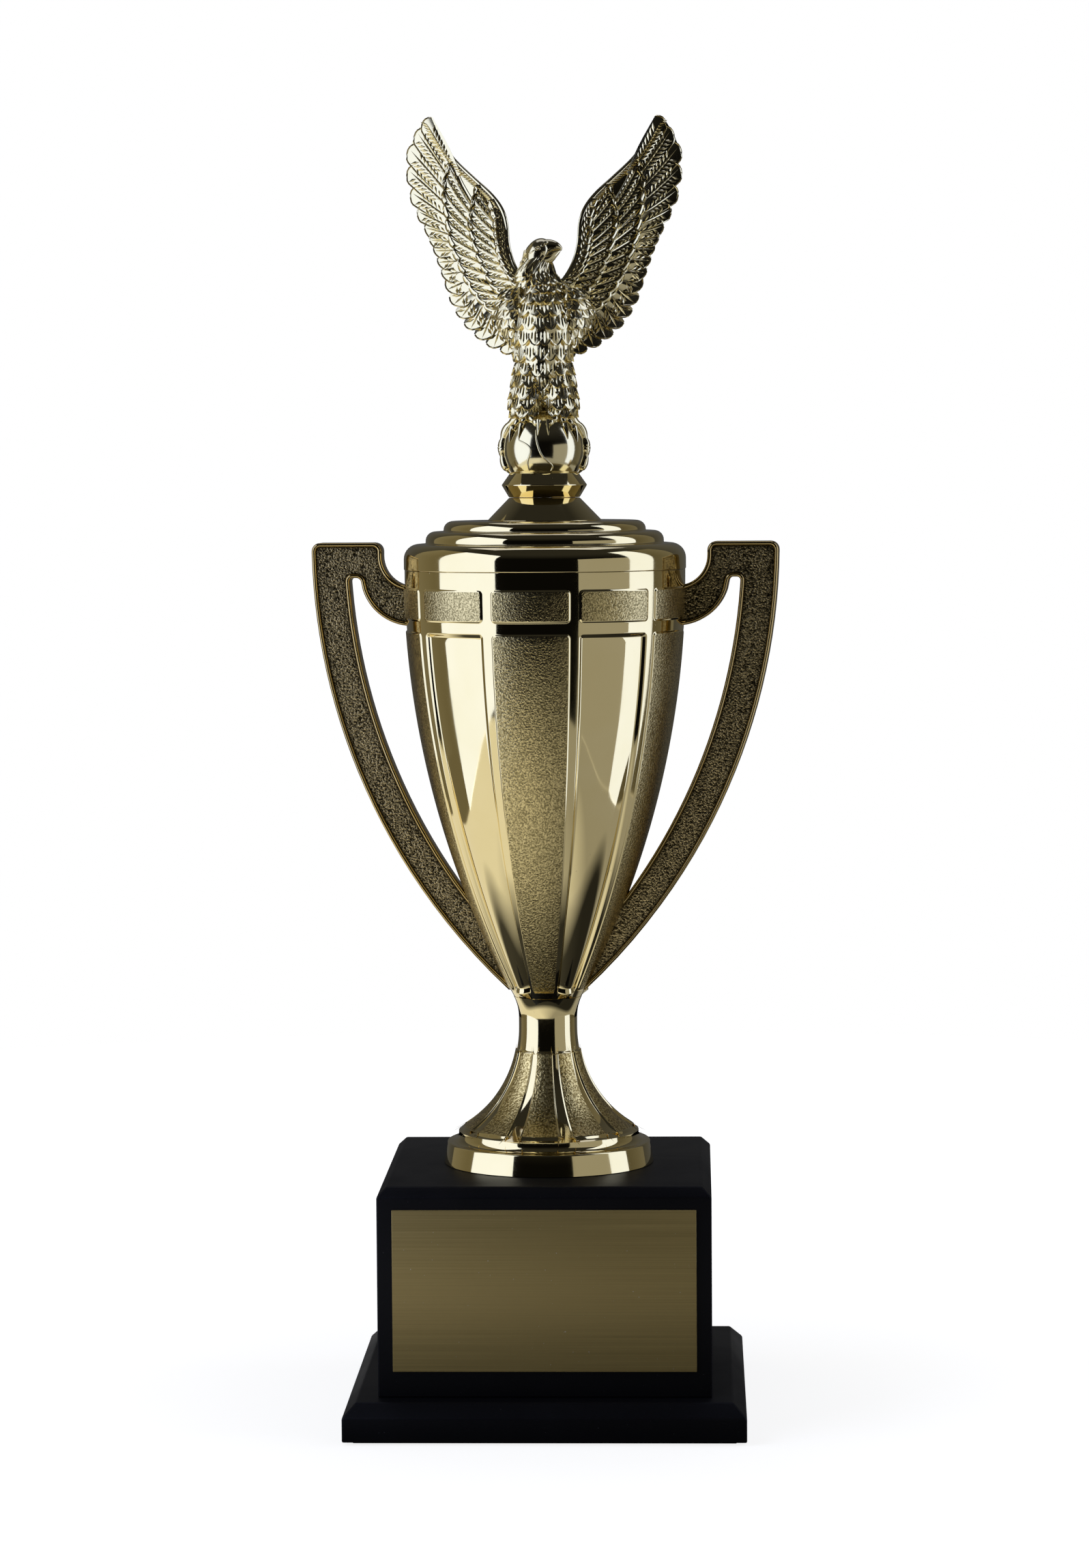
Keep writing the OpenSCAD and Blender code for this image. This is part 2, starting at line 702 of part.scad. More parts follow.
// A jointed toe that lies along the ball, ending in a claw
module toe(turn, from, to, joints) {
    step = (to - from) / joints;
    for (i = [0 : joints - 1])
        hull() {
            toe_bead(turn, from + i * step, toe_r / 4, toe_r);
            toe_bead(turn, from + (i + 0.8) * step, toe_r / 4, toe_r * 0.8);
        }
    hull() {
        toe_bead(turn, to - step / 4, toe_r / 4, toe_r * 0.7);
        toe_bead(turn, to + claw_turn, toe_r / 4, toe_r * 0.3);
    }
}

// Thigh and foot on the eagle's +X side
module leg() {
    hip = [breast_w / 4, -breast_d / 8, hip_h];
    ankle = on_ball(ankle_turn, ankle_down, toe_r);
    hull() {
        translate(hip) sphere(r = breast_w / 4, $fn = thigh_fn);
        translate((hip * 0.35 + ankle * 0.65)) sphere(r = breast_w / 4.6, $fn = thigh_fn);
    }
    hull() {
        translate((hip * 0.3 + ankle * 0.7)) sphere(r = breast_w / 5, $fn = thigh_fn);
        translate(ankle) sphere(r = toe_r * 1.6, $fn = toe_fn);
    }
    for (t = toes)
        toe(t[0], ankle_down, t[1], t[2]);
}

// Hooked beak, pointing to the eagle's left
module beak() {
    face = [0, -breast_d * 0.03, crown_h * 0.93];
    hull() {
        translate(face) sphere(r = breast_w * 0.13, $fn = toe_fn);
        translate(face + [breast_w * 0.2, 0, 0]) sphere(r = breast_w * 0.05, $fn = toe_fn);
    }
    hull() {
        translate(face + [breast_w * 0.2, 0, 0]) sphere(r = breast_w * 0.05, $fn = toe_fn);
        translate(face + [breast_w * 0.225, 0, -breast_w * 0.08]) sphere(r = breast_w * 0.02, $fn = toe_fn);
    }
}

// Tail fanned down behind the ball
module tail() {
    hull() {
        translate([0, breast_d / 4, hip_h]) sphere(r = breast_w / 5, $fn = toe_fn);
        for (x = [-1, 1])
            translate([x * breast_w / 3.4, ball_r + feather_t, 0]) sphere(r = feather_t, $fn = toe_fn);
    }
}

module eagle() {
    color("#dccf9f") translate([0, 0, ball_z]) rotate([0, 0, eagle_turn]) difference() {
        union() {
            skin([for (s = body_stations) body_ring(s)]);
            for (side = [0, 1])
                mirror([side, 0, 0]) {
                    wing();
                    leg();
                }
            beak();
            tail();
        }
        sphere(r = ball_r + toe_fit, $fn = ball_cut_fn);
        cylinder(r = stud_hole_r, h = stud_rise, $fn = ball_cut_fn);
        translate([-ball_r * 2, -ball_r * 2, seat_z - ball_z - ball_r])
            cube([ball_r * 4, ball_r * 4, ball_r]);
    }
}

module figure_stud() {
    color("#a9a8a2") translate([0, 0, stud_low_z]) cylinder(r = stud_r, h = stud_top_z - stud_low_z);
}

module lid_washer() {
    washer(lid_washer_z, stud_hole_r);
}

module lid_nut() {
    nut(lid_washer_z - nut_h, stud_r + seat_fit);
}

plinth();
base_block();
block_screws();
felt_pad();
engraving_plate();
plate_tape();
stem();
bowl();
handle_left();
handle_right();
tie_rod();
rod_washer_top();
rod_nut_top();
rod_washer_bottom();
rod_nut_bottom();
lid();
finial_cone();
finial_collar();
perch_ball();
eagle();
figure_stud();
lid_washer();
lid_nut();
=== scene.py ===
# Cup trophy: the looks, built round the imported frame.
# Pieces are modelled in millimetres, +Z up, front towards -Y, and scaled to metres when they are placed.
import math

import bmesh
import bpy
from mathutils import Matrix, Vector


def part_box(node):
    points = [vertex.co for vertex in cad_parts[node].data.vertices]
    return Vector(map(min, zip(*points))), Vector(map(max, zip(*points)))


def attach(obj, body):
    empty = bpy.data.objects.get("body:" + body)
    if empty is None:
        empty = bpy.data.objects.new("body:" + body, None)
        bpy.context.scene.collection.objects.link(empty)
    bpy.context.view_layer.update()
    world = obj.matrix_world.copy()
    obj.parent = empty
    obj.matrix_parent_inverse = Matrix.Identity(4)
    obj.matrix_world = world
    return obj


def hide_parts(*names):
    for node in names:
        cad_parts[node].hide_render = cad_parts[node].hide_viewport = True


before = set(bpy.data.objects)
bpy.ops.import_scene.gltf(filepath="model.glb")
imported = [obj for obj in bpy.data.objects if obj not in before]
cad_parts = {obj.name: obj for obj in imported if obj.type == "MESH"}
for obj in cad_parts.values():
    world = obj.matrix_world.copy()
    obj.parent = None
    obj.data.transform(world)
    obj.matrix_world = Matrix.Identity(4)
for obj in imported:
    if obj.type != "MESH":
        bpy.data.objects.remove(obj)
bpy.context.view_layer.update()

mm = 0.001
cupTurn = -4.2  # the cup, the lid and the eagle stand a little askew on the base
front = Vector((0, -1, 0))


def levels(node):
    low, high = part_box(node)
    return low.z / mm, high.z / mm


def smoothAt(points, t):
    # Catmull-Rom curve through points, t from 0 to 1
    last = len(points) - 1
    i = min(int(t * last), last - 1)
    u = t * last - i
    a, b, c, d = (Vector(points[k]) for k in (max(i - 1, 0), i, i + 1, min(i + 2, last)))
    return (2 * b + (c - a) * u + (2 * a - 5 * b + 4 * c - d) * u * u + (3 * b - a - 3 * c + d) * u ** 3) / 2


def smoothValue(values, t):
    return smoothAt([(value, 0) for value in values], t)[0]


# Shader helpers

def feed(tree, node, inputs):
    # links sockets and sets plain values; a name such as _0 is a socket's number
    for name, value in inputs.items():
        socket = node.inputs[int(name[1:])] if name[0] == "_" else node.inputs[name]
        if isinstance(value, bpy.types.NodeSocket):
            tree.links.new(value, socket)
        else:
            socket.default_value = value


def addNode(tree, kind, settings=None, **inputs):
    node = tree.nodes.new("ShaderNode" + kind)
    for name, value in (settings or {}).items():
        setattr(node, name, value)
    feed(tree, node, inputs)
    return node


def newGroup(name, inputs, outputs):
    group = bpy.data.node_groups.new(name, "ShaderNodeTree")
    for label, value in inputs.items():
        socket = group.interface.new_socket(label, in_out="INPUT", socket_type="NodeSocketFloat")
        socket.default_value = value
    for label in outputs:
        group.interface.new_socket(label, in_out="OUTPUT", socket_type="NodeSocketFloat")
    return group, group.nodes.new("NodeGroupInput").outputs, group.nodes.new("NodeGroupOutput")


def spread(tree, value, low, high, toLow=0.0, toHigh=1.0):
    return addNode(tree, "MapRange", _0=value, _1=low, _2=high, _3=toLow, _4=toHigh).outputs[0]


def blendColour(tree, factor, first, second):
    return addNode(tree, "Mix", {"data_type": "RGBA"}, _0=factor, _6=first, _7=second).outputs[2]


def combine(tree, operation, first, second, third=0.0):
    return addNode(tree, "Math", {"operation": operation}, _0=first, _1=second, _2=third).outputs[0]


def vectorMath(tree, operation, first, second, output):
    return addNode(tree, "VectorMath", {"operation": operation}, _0=first, _1=second).outputs[output]


def objectPlace(tree):
    return addNode(tree, "TexCoord").outputs["Object"]


def noise(tree, place, scale, **inputs):
    return addNode(tree, "TexNoise", Vector=place, Scale=scale, **inputs).outputs[0]


def handlingGroup():
    # finger smudges in broad clouds, and fine dust specks
    group, given, out = newGroup("handlingMarks", {"Cloud Scale": 45.0, "Speck Scale": 900.0}, ("Smudge", "Specks"))
    place = objectPlace(group)
    cloud = noise(group, place, given["Cloud Scale"], Detail=4.0, Distortion=0.6)
    speck = noise(group, place, given["Speck Scale"], Detail=1.0)
    feed(group, out, {"Smudge": spread(group, cloud, 0.42, 0.75), "Specks": spread(group, speck, 0.77, 0.84)})
    return group


def grainGroup():
    # leathery mould texture with lumps of about half a millimetre
    group, given, out = newGroup("mouldGrain", {"Scale": 1000.0}, ("Height", "Shade"))
    lumps = noise(group, objectPlace(group), given["Scale"], Detail=1.5, Roughness=0.6)
    feed(group, out, {"Height": spread(group, lumps, 0.3, 0.7), "Shade": spread(group, lumps, 0.38, 0.62)})
    return group


def brushGroup():
    # fine straight lines along X, as a brushing wheel leaves them
    group, given, out = newGroup("brushLines", {"Along": 14.0, "Across": 5200.0}, ("Lines",))
    stretch = addNode(group, "CombineXYZ", _0=given["Along"], _1=1.0, _2=given["Across"])
    brushed = vectorMath(group, "MULTIPLY", objectPlace(group), stretch.outputs[0], "Vector")
    feed(group, out, {"Lines": noise(group, brushed, 1.0, Detail=3.0)})
    return group


marksGroup = handlingGroup()
mouldGroup = grainGroup()
linesGroup = brushGroup()


def newFinish(name):
    material = bpy.data.materials.new(name)
    material.use_nodes = True
    tree = material.node_tree
    return material, tree, tree.nodes["Principled BSDF"]


def placeGroup(tree, group, inputs=None):
    return addNode(tree, "Group", {"node_tree": group}, **(inputs or {})).outputs


def bumpFrom(tree, height, distance):
    return addNode(tree, "Bump", Strength=1.0, Distance=distance * mm, Height=height).outputs[0]


def polishedPlating(name, tint, deep, rough, ripple):
    # mirror plating on moulded plastic: smudges, dust and a faint ripple of the moulding
    material, tree, shader = newFinish(name)
    marks = placeGroup(tree, marksGroup)
    colour = blendColour(tree, combine(tree, "MULTIPLY", marks["Smudge"], 0.5), tint, deep)
    haze = combine(tree, "MULTIPLY_ADD", marks["Smudge"], 0.05, rough)
    dusty = combine(tree, "MULTIPLY_ADD", marks["Specks"], 0.25, haze)
    wave = noise(tree, objectPlace(tree), 110.0, Detail=1.0)
    feed(tree, shader, {"Metallic": 1.0, "Base Color": colour, "Roughness": dusty,
                        "Normal": bumpFrom(tree, wave, ripple)})
    return material


def grainedPlating(name, tint, deep, rough, relief, scale, rimDarkReach=0.0):
    # the same plating over a crinkled mould face, darker along the foot of a rim, as far as an ambient occlusion node
    # reaches
    material, tree, shader = newFinish(name)
    grain = placeGroup(tree, mouldGroup, {"Scale": scale})
    marks = placeGroup(tree, marksGroup)
    colour = blendColour(tree, grain["Shade"], deep, tint)
    if rimDarkReach:
        # the colour goes darker where ambient occlusion finds the foot of a rim close by
        near = addNode(tree, "AmbientOcclusion", {"only_local": True}, Distance=rimDarkReach * mm)
        colour = blendColour(tree, spread(tree, near.outputs["AO"], 0.76, 1.0), deep, colour)
    haze = combine(tree, "MULTIPLY_ADD", marks["Smudge"], 0.08, rough)
    feed(tree, shader, {"Metallic": 1.0, "Base Color": colour, "Roughness": haze,
                        "Normal": bumpFrom(tree, grain["Height"], relief)})
    return material


def lacquerFinish():
    material, tree, shader = newFinish("blackLacquer")
    marks = placeGroup(tree, marksGroup, {"Cloud Scale": 30.0, "Speck Scale": 1300.0})
    peel = noise(tree, objectPlace(tree), 1500.0, Detail=2.0)
    dust = combine(tree, "MULTIPLY", marks["Specks"], 0.12)
    colour = blendColour(tree, dust, (0.0055, 0.005, 0.0053, 1), (0.3, 0.29, 0.28, 1))
    feed(tree, shader, {"Base Color": colour, "Specular IOR Level": 0.16,
                        "Roughness": spread(tree, marks["Smudge"], 0.0, 1.0, 0.4, 0.5),
                        "Normal": bumpFrom(tree, peel, 0.02)})
    return material


def plateFinish():
    material, tree, shader = newFinish("brushedBrass")
    lines = placeGroup(tree, linesGroup)
    marks = placeGroup(tree, marksGroup, {"Cloud Scale": 60.0, "Speck Scale": 1500.0})
    tone = blendColour(tree, spread(tree, lines["Lines"], 0.3, 0.7), (0.38, 0.27, 0.08, 1), (0.48, 0.345, 0.11, 1))
    dusty = blendColour(tree, combine(tree, "MULTIPLY", marks["Specks"], 0.6), tone, (0.8, 0.75, 0.6, 1))
    feed(tree, shader, {"Metallic": 0.35, "Anisotropic": 0.4, "Base Color": dusty,
                        "Roughness": spread(tree, lines["Lines"], 0.3, 0.7, 0.34, 0.46),
                        "Normal": bumpFrom(tree, lines["Lines"], 0.006)})
    return material


def feltFinish():
    material, tree, shader = newFinish("pressedFelt")
    fibre = noise(tree, objectPlace(tree), 1800.0, Detail=5.0, Distortion=3.0)
    colour = blendColour(tree, fibre, (0.006, 0.013, 0.009, 1), (0.03, 0.055, 0.04, 1))
    feed(tree, shader, {"Base Color": colour, "Roughness": 1.0, "Sheen Weight": 0.3,
                        "Normal": bumpFrom(tree, fibre, 0.25)})
    return material


def steelFinish():
    material, tree, shader = newFinish("zincSteel")
    marks = placeGroup(tree, marksGroup, {"Cloud Scale": 260.0})
    colour = blendColour(tree, marks["Smudge"], (0.62, 0.62, 0.6, 1), (0.44, 0.45, 0.46, 1))
    ridges = addNode(tree, "TexWave", {"bands_direction": "Z"}, Vector=objectPlace(tree), Scale=160.0)
    feed(tree, shader, {"Metallic": 1.0, "Base Color": colour,
                        "Roughness": spread(tree, marks["Smudge"], 0.0, 1.0, 0.22, 0.42),
                        "Normal": bumpFrom(tree, ridges.outputs["Fac"], 0.03)})
    return material


def tapeFinish():
    material, tree, shader = newFinish("foamTape")
    cells = noise(tree, objectPlace(tree), 2500.0, Detail=2.0)
    colour = blendColour(tree, cells, (0.62, 0.59, 0.5, 1), (0.8, 0.77, 0.68, 1))
    feed(tree, shader, {"Base Color": colour, "Roughness": 0.8, "Normal": bumpFrom(tree, cells, 0.05)})
    return material


# name, colour, colour in smudges or hollows, roughness, then the height in millimetres of ripple or grain,
# the grain's scale, and how far in millimetres the darkening by occlusion reaches from a rim
gold = polishedPlating("polishedGold", (0.88, 0.735, 0.385, 1), (0.83, 0.68, 0.32, 1), 0.045, 0.02)
grainedGold = grainedPlating("grainedGold", (0.78, 0.63, 0.29, 1), (0.29, 0.23, 0.095, 1), 0.24, 0.06, 1900.0)
coarseGold = grainedPlating("coarseGold", (1.0, 0.79, 0.33, 1), (0.34, 0.24, 0.075, 1), 0.27, 0.07, 1600.0)
bronze = polishedPlating("polishedBronze", (0.56, 0.41, 0.16, 1), (0.46, 0.33, 0.12, 1), 0.1, 0.02)
grainedBronze = grainedPlating("grainedBronze", (0.76, 0.585, 0.27, 1), (0.05, 0.037, 0.015, 1), 0.28, 0.1, 1750.0,
                               4.0)
paleGold = polishedPlating("paleGold", (0.84, 0.73, 0.42, 1), (0.75, 0.64, 0.36, 1), 0.12, 0.02)
paleSatin = polishedPlating("paleSatin", (0.87, 0.755, 0.43, 1), (0.78, 0.665, 0.36, 1), 0.18, 0.02)
lacquer = lacquerFinish()
brass = plateFinish()
felt = feltFinish()
steel = steelFinish()
tape = tapeFinish()
print("finishes made")


# Mesh helpers

mergeGap = 0.0005
levelGap = 0.001
panelLine = 0.05  # inset before a panel's corners are rounded


def addObject(name, data):
    made = bpy.data.objects.new(name, data)
    bpy.context.scene.collection.objects.link(made)
    return made


def placePiece(name, bm, materials, body, nodes, sharp=40):
    bmesh.ops.remove_doubles(bm, verts=bm.verts, dist=mergeGap)
    bmesh.ops.recalc_face_normals(bm, faces=bm.faces)
    bmesh.ops.scale(bm, vec=(mm, mm, mm), verts=bm.verts)
    mesh = bpy.data.meshes.new(name)
    bm.to_mesh(mesh)
    bm.free()
    mesh.shade_smooth()
    mesh.set_sharp_from_angle(angle=math.radians(sharp))
    for material in materials:
        mesh.materials.append(material)
    piece = addObject(name, mesh)
    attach(piece, body)
    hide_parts(*nodes)
    print("placed", name, len(mesh.polygons), "faces")
    return piece


def asMesh(bm):
    mesh = bpy.data.meshes.new("stamp")
    bm.to_mesh(mesh)
    bm.free()
    return mesh


def stamp(bm, mesh, matrix=None):
    # adds a copy of a small mesh to a larger one
    copy = mesh.copy()
    if matrix:
        copy.transform(matrix)
    bm.from_mesh(copy)
    bpy.data.meshes.remove(copy)


def bevelled(bm, geom, offset, segments, affect="EDGES"):
    bmesh.ops.bevel(bm, geom=geom, offset=offset, offset_type="OFFSET", segments=segments, profile=0.5,
                    affect=affect, material=-1)


def closedOutline(corners, y, segments):
    # corners are (x or radius, height, rounding)
    bm = bmesh.new()
    verts = [bm.verts.new((x, y, z)) for x, z, rounding in corners]
    for a, b in zip(verts, verts[1:] + verts[:1]):
        bm.edges.new((a, b))
    for vert, (x, z, rounding) in zip(verts, corners):
        if rounding:
            bevelled(bm, [vert], rounding, segments, "VERTICES")
    return bm


def spinProfile(corners, sides=256):
    bm = closedOutline(corners, 0, 8)
    bmesh.ops.spin(bm, geom=bm.verts[:] + bm.edges[:], cent=(0, 0, 0), axis=(0, 0, 1), dvec=(0, 0, 0),
                   angle=math.tau, steps=sides, use_merge=True)
    return bm


def extrudeRing(bm, edges):
    # the new verts, and the new ring of edges
    grown = bmesh.ops.extrude_edge_only(bm, edges=edges)["geom"]
    verts = [g for g in grown if isinstance(g, bmesh.types.BMVert)]
    fresh = set(verts)
    return verts, [g for g in grown if isinstance(g, bmesh.types.BMEdge) and fresh.issuperset(g.verts)]


def thicken(bm, faces, offset):
    grown = bmesh.ops.extrude_face_region(bm, geom=faces)["geom"]
    bmesh.ops.translate(bm, vec=offset, verts=[g for g in grown if isinstance(g, bmesh.types.BMVert)])


def sweepRings(rings, sides):
    # each ring is the matrix of a unit circle; the first is extruded on through the rest
    bm = bmesh.new()
    bmesh.ops.create_circle(bm, cap_ends=True, segments=sides, radius=1, matrix=rings[0])
    edges = bm.edges[:]
    for before, after in zip(rings, rings[1:]):
        verts, edges = extrudeRing(bm, edges)
        bmesh.ops.transform(bm, matrix=after @ before.inverted(), verts=verts)
    bmesh.ops.edgeloop_fill(bm, edges=edges)
    bmesh.ops.recalc_face_normals(bm, faces=bm.faces)
    return bm


def pathRings(points, radii):
    # rings square to a path, with a radius at each point
    rings = []
    for i, point in enumerate(points):
        heading = points[min(i + 1, len(points) - 1)] - points[max(i - 1, 0)]
        turn = heading.to_track_quat("Z", "Y").to_matrix().to_4x4()
        rings.append(Matrix.Translation(point) @ turn @ Matrix.Diagonal((radii[i], radii[i], 1, 1)))
    return rings


def addTube(bm, path, radii, sides):
    stamp(bm, asMesh(sweepRings(pathRings(path, radii), sides)))


def cutSheet(bm, direction, places):
    for place in places:
        bmesh.ops.bisect_plane(bm, geom=bm.verts[:] + bm.edges[:] + bm.faces[:], dist=1e-5,
                               plane_co=Vector(direction) * place, plane_no=direction)


def steps(low, high, count):
    return [low + (high - low) * i / count for i in range(count + 1)]


def flatSheet(halfWidth, low, high):
    bm = bmesh.new()
    corners = ((-halfWidth, low), (halfWidth, low), (halfWidth, high), (-halfWidth, high))
    bm.faces.new([bm.verts.new((x, y, 0)) for x, y in corners])
    return bm


def faceOver(bm, y):
    # the flat face whose bounds have their middle nearest to x 0 and this y
    return min(bm.faces, key=lambda f: (f.calc_center_bounds() - Vector((0, y, 0))).xy.length)


def formPanel(bm, low, high, corner, shoulder, finish):
    # rounds the corners of the face between two levels, then raises or sinks it in shoulder steps
    middle = (low + high) / 2
    face = faceOver(bm, middle)
    bmesh.ops.inset_individual(bm, faces=[face], thickness=panelLine, use_even_offset=True)
    bevelled(bm, face.verts[:], corner, 6, "VERTICES")
    face = faceOver(bm, middle)
    for width, rise in shoulder:
        bmesh.ops.inset_individual(bm, faces=[face], thickness=width, use_even_offset=True)
        bmesh.ops.translate(bm, vec=(0, 0, rise), verts=face.verts)
    face.material_index = finish


def wrapSheet(bm, radiusAtUnit, curve):
    # rolls a flat sheet round the axis: x goes round, y climbs, z stands off the curve
    for vert in bm.verts:
        angle = vert.co.x / radiusAtUnit - math.pi / 2
        radius, height = curve(vert.co.y, vert.co.z)
        vert.co = (radius * math.cos(angle), radius * math.sin(angle), height)


def edgesAt(bm, height):
    return [e for e in bm.edges if all(abs(v.co.z - height) < levelGap for v in e.verts)]


def drawOn(bm, start, outline):
    # extrudes the open ring at the start height on through (radius, height) points
    edges = [e for e in edgesAt(bm, start) if e.is_boundary]
    for radius, height in outline:
        verts, edges = extrudeRing(bm, edges)
        for vert in verts:
            flat = vert.co.xy.normalized() * radius
            vert.co = (flat.x, flat.y, height)


def tileRound(tiles, count):
    # sets tiles in turn round the axis and merges their edges
    bm = bmesh.new()
    for i in range(count):
        stamp(bm, tiles[i % len(tiles)], Matrix.Rotation(math.tau * i / count, 4, "Z"))
    bmesh.ops.remove_doubles(bm, verts=bm.verts, dist=mergeGap)
    return bm


def arcRadius(run, rise):
    # of an arc that starts upright and bends aside by run over the rise
    return (run * run + rise * rise) / (2 * run)


def turned(bm, degrees):
    bmesh.ops.rotate(bm, cent=(0, 0, 0), matrix=Matrix.Rotation(math.radians(degrees), 3, "Z"), verts=bm.verts)
    return bm


# Base

# bevel round the top, then the rounding of all edges and its steps
plinth = {"bevel": 4.0, "edge": 0.5, "edgeSteps": 4}
block = {"bevel": 2.8, "edge": 0.5, "edgeSteps": 4}
pad = {"bevel": 0, "edge": 0.25, "edgeSteps": 4}
plate = {"bevel": 0, "edge": 0.15, "edgeSteps": 3}


def softBox(node, form):
    low, high = (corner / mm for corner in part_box(node))
    bm = bmesh.new()
    bmesh.ops.create_cube(bm, size=1)
    bmesh.ops.scale(bm, vec=high - low, verts=bm.verts)
    bmesh.ops.translate(bm, vec=(low + high) / 2, verts=bm.verts)
    if form["bevel"]:
        bevelled(bm, edgesAt(bm, high.z), form["bevel"], 1)
    bevelled(bm, bm.edges[:], form["edge"], form["edgeSteps"])
    return bm


placePiece("plinthTier", softBox("plinth", plinth), [lacquer], "base", ["plinth"])
placePiece("blockTier", softBox("base_block", block), [lacquer], "base", ["base_block"])
feltSheet = placePiece("feltSheet", softBox("felt_pad", pad), [felt], "base", ["felt_pad"])
placePiece("facePlate", softBox("engraving_plate", plate), [brass], "base", ["engraving_plate"])


# Stem

stem = {
    "footR": 31.7, "footTopR": 30.7, "footH": 6.6, "footRound": 0.5, "roundMiddle": 0.3, "footEdge": 0.2,
    "cove": 2.4, "lipR": 27.2, "lipH": 0.7,
    "flareH": 31.3, "neckR": 8.8, "neckH": 3.0, "topR": 10.3, "topH": 6.4,
    "wall": 2.2, "flutes": 10, "fluteGap": 8.0, "fluteFrom": 0.3, "fluteH": 25.0, "corner": 0.5,
    "cuts": 24, "arcSteps": 8,
    "shoulder": ((0.25, 0.08), (0.3, 0.3), (0.25, 0.07)),
}


def makeStem():
    s = stem
    foot, top = levels("stem")
    lipTop = foot + s["footH"] + s["cove"] + s["lipH"]
    neck = lipTop + s["flareH"]
    arc = arcRadius(s["lipR"] - s["neckR"], s["flareH"])
    axis = s["neckR"] + arc

    def flare(height, stand):
        lean = math.asin((height - neck) / arc)
        return axis - (arc - stand) * math.cos(lean), neck + (arc - stand) * math.sin(lean)

    half = math.pi / s["flutes"] * s["lipR"]
    fluteHalf = half * (1 - s["fluteGap"] * s["flutes"] / 360)
    span = (lipTop + s["fluteFrom"], lipTop + s["fluteH"])
    tile = flatSheet(half, lipTop, neck)
    cutSheet(tile, (1, 0, 0), (-fluteHalf, fluteHalf))
    cutSheet(tile, (0, 1, 0), span)
    formPanel(tile, *span, s["corner"], s["shoulder"], 1)
    cutSheet(tile, (1, 0, 0), steps(-half, half, s["cuts"])[1:-1])
    cutSheet(tile, (0, 1, 0), steps(lipTop, neck, s["cuts"])[1:-1])
    wrapSheet(tile, s["lipR"], flare)
    bm = tileRound([asMesh(tile)], s["flutes"])
    topArc = arcRadius(s["topR"] - s["neckR"], s["topH"])
    opening = [(s["neckR"] + topArc - math.sqrt(topArc ** 2 - h * h), neck + s["neckH"] + h)
               for h in steps(0, s["topH"], s["arcSteps"])]
    bore = s["neckR"] - s["wall"]
    drawOn(bm, neck, opening + [(bore, top)])
    coveX = s["lipR"] + s["cove"]
    coveZ = lipTop - s["lipH"]
    outline = [(coveX - s["cove"] * math.cos(a), coveZ - s["cove"] * math.sin(a))
               for a in steps(0, math.pi / 2, s["arcSteps"])]
    ledge = coveZ - s["cove"]
    middle = s["footRound"] * s["roundMiddle"]
    inner = s["footR"] - s["wall"]
    ceiling = foot + s["footH"] - s["wall"]
    outline += [(s["footTopR"] - s["footRound"], ledge), (s["footTopR"] - middle, ledge - middle),
                (s["footTopR"], ledge - s["footRound"]), (s["footR"], foot + s["footEdge"]),
                (s["footR"] - s["footEdge"], foot), (inner, foot), (inner, ceiling), (bore, ceiling), (bore, top)]
    drawOn(bm, lipTop, outline)
    return turned(bm, cupTurn)


placePiece("cupStem", makeStem(), [gold, coarseGold], "base", ["stem"], 50)


# Bowl

bowl = {
    "foot": 124.4, "mouthR": 42.1, "footR": 10.2, "wall": 2.2, "floor": 9.6, "rimRound": 0.4,
    "panels": 10, "panelGap": 3.2, "rimBand": 4.8, "shortH": 10.0, "strip": 2.9, "panelFoot": 2.0,
    "corner": 1.5,
    "raised": ((0.2, 0.06), (0.25, 0.28), (0.25, 0.06)),
    "sunk": ((0.3, -0.12), (0.45, -0.38), (0.45, -0.38), (0.35, -0.12)),
    "swell": 1.3, "swellSpan": (165, 215),
    "rodHole": 3.3, "spigotR": 6.45, "rimEdge": 0.1, "cuts": (24, 56), "insideSteps": 20,
}
rimZ = levels("bowl")[1]
bowlArc = arcRadius(bowl["mouthR"] - bowl["footR"], rimZ - bowl["foot"])


def bowlCurve(height, stand):
    lean = math.asin((height - rimZ) / bowlArc)
    return bowl["mouthR"] - bowlArc + (bowlArc + stand) * math.cos(lean), rimZ + (bowlArc + stand) * math.sin(lean)


def bowlTile(sunk):
    b = bowl
    half = math.pi / b["panels"] * b["mouthR"]
    panelHalf = half * (1 - b["panelGap"] * b["panels"] / 360)
    shortTop = rimZ - b["rimBand"]
    shortLow = shortTop - b["shortH"]
    longTop = shortLow - b["strip"]
    longLow = b["foot"] + b["panelFoot"]
    tile = flatSheet(half, b["foot"], rimZ)
    cutSheet(tile, (1, 0, 0), (-panelHalf, panelHalf))
    cutSheet(tile, (0, 1, 0), (longLow, longTop, shortLow, shortTop))
    formPanel(tile, shortLow, shortTop, b["corner"], b["raised"], 1)
    formPanel(tile, longLow, longTop, b["corner"], b["sunk"] if sunk else b["raised"], 0 if sunk else 1)
    cutSheet(tile, (1, 0, 0), steps(-half, half, b["cuts"][0])[1:-1])
    cutSheet(tile, (0, 1, 0), steps(b["foot"], rimZ, b["cuts"][1])[1:-1])
    if sunk:
        # the polished panels swell towards the foot
        low, high = b["swellSpan"]
        inside = panelHalf - sum(width for width, rise in b["sunk"]) - panelLine
        for vert in tile.verts:
            if abs(vert.co.x) < inside and longLow < vert.co.y < longTop:
                share = min(max((high - vert.co.y) / (high - low), 0), 1)
                vert.co.z += b["swell"] * share * share * (3 - 2 * share) * (1 - (vert.co.x / inside) ** 2)
    wrapSheet(tile, b["mouthR"], bowlCurve)
    return asMesh(tile)


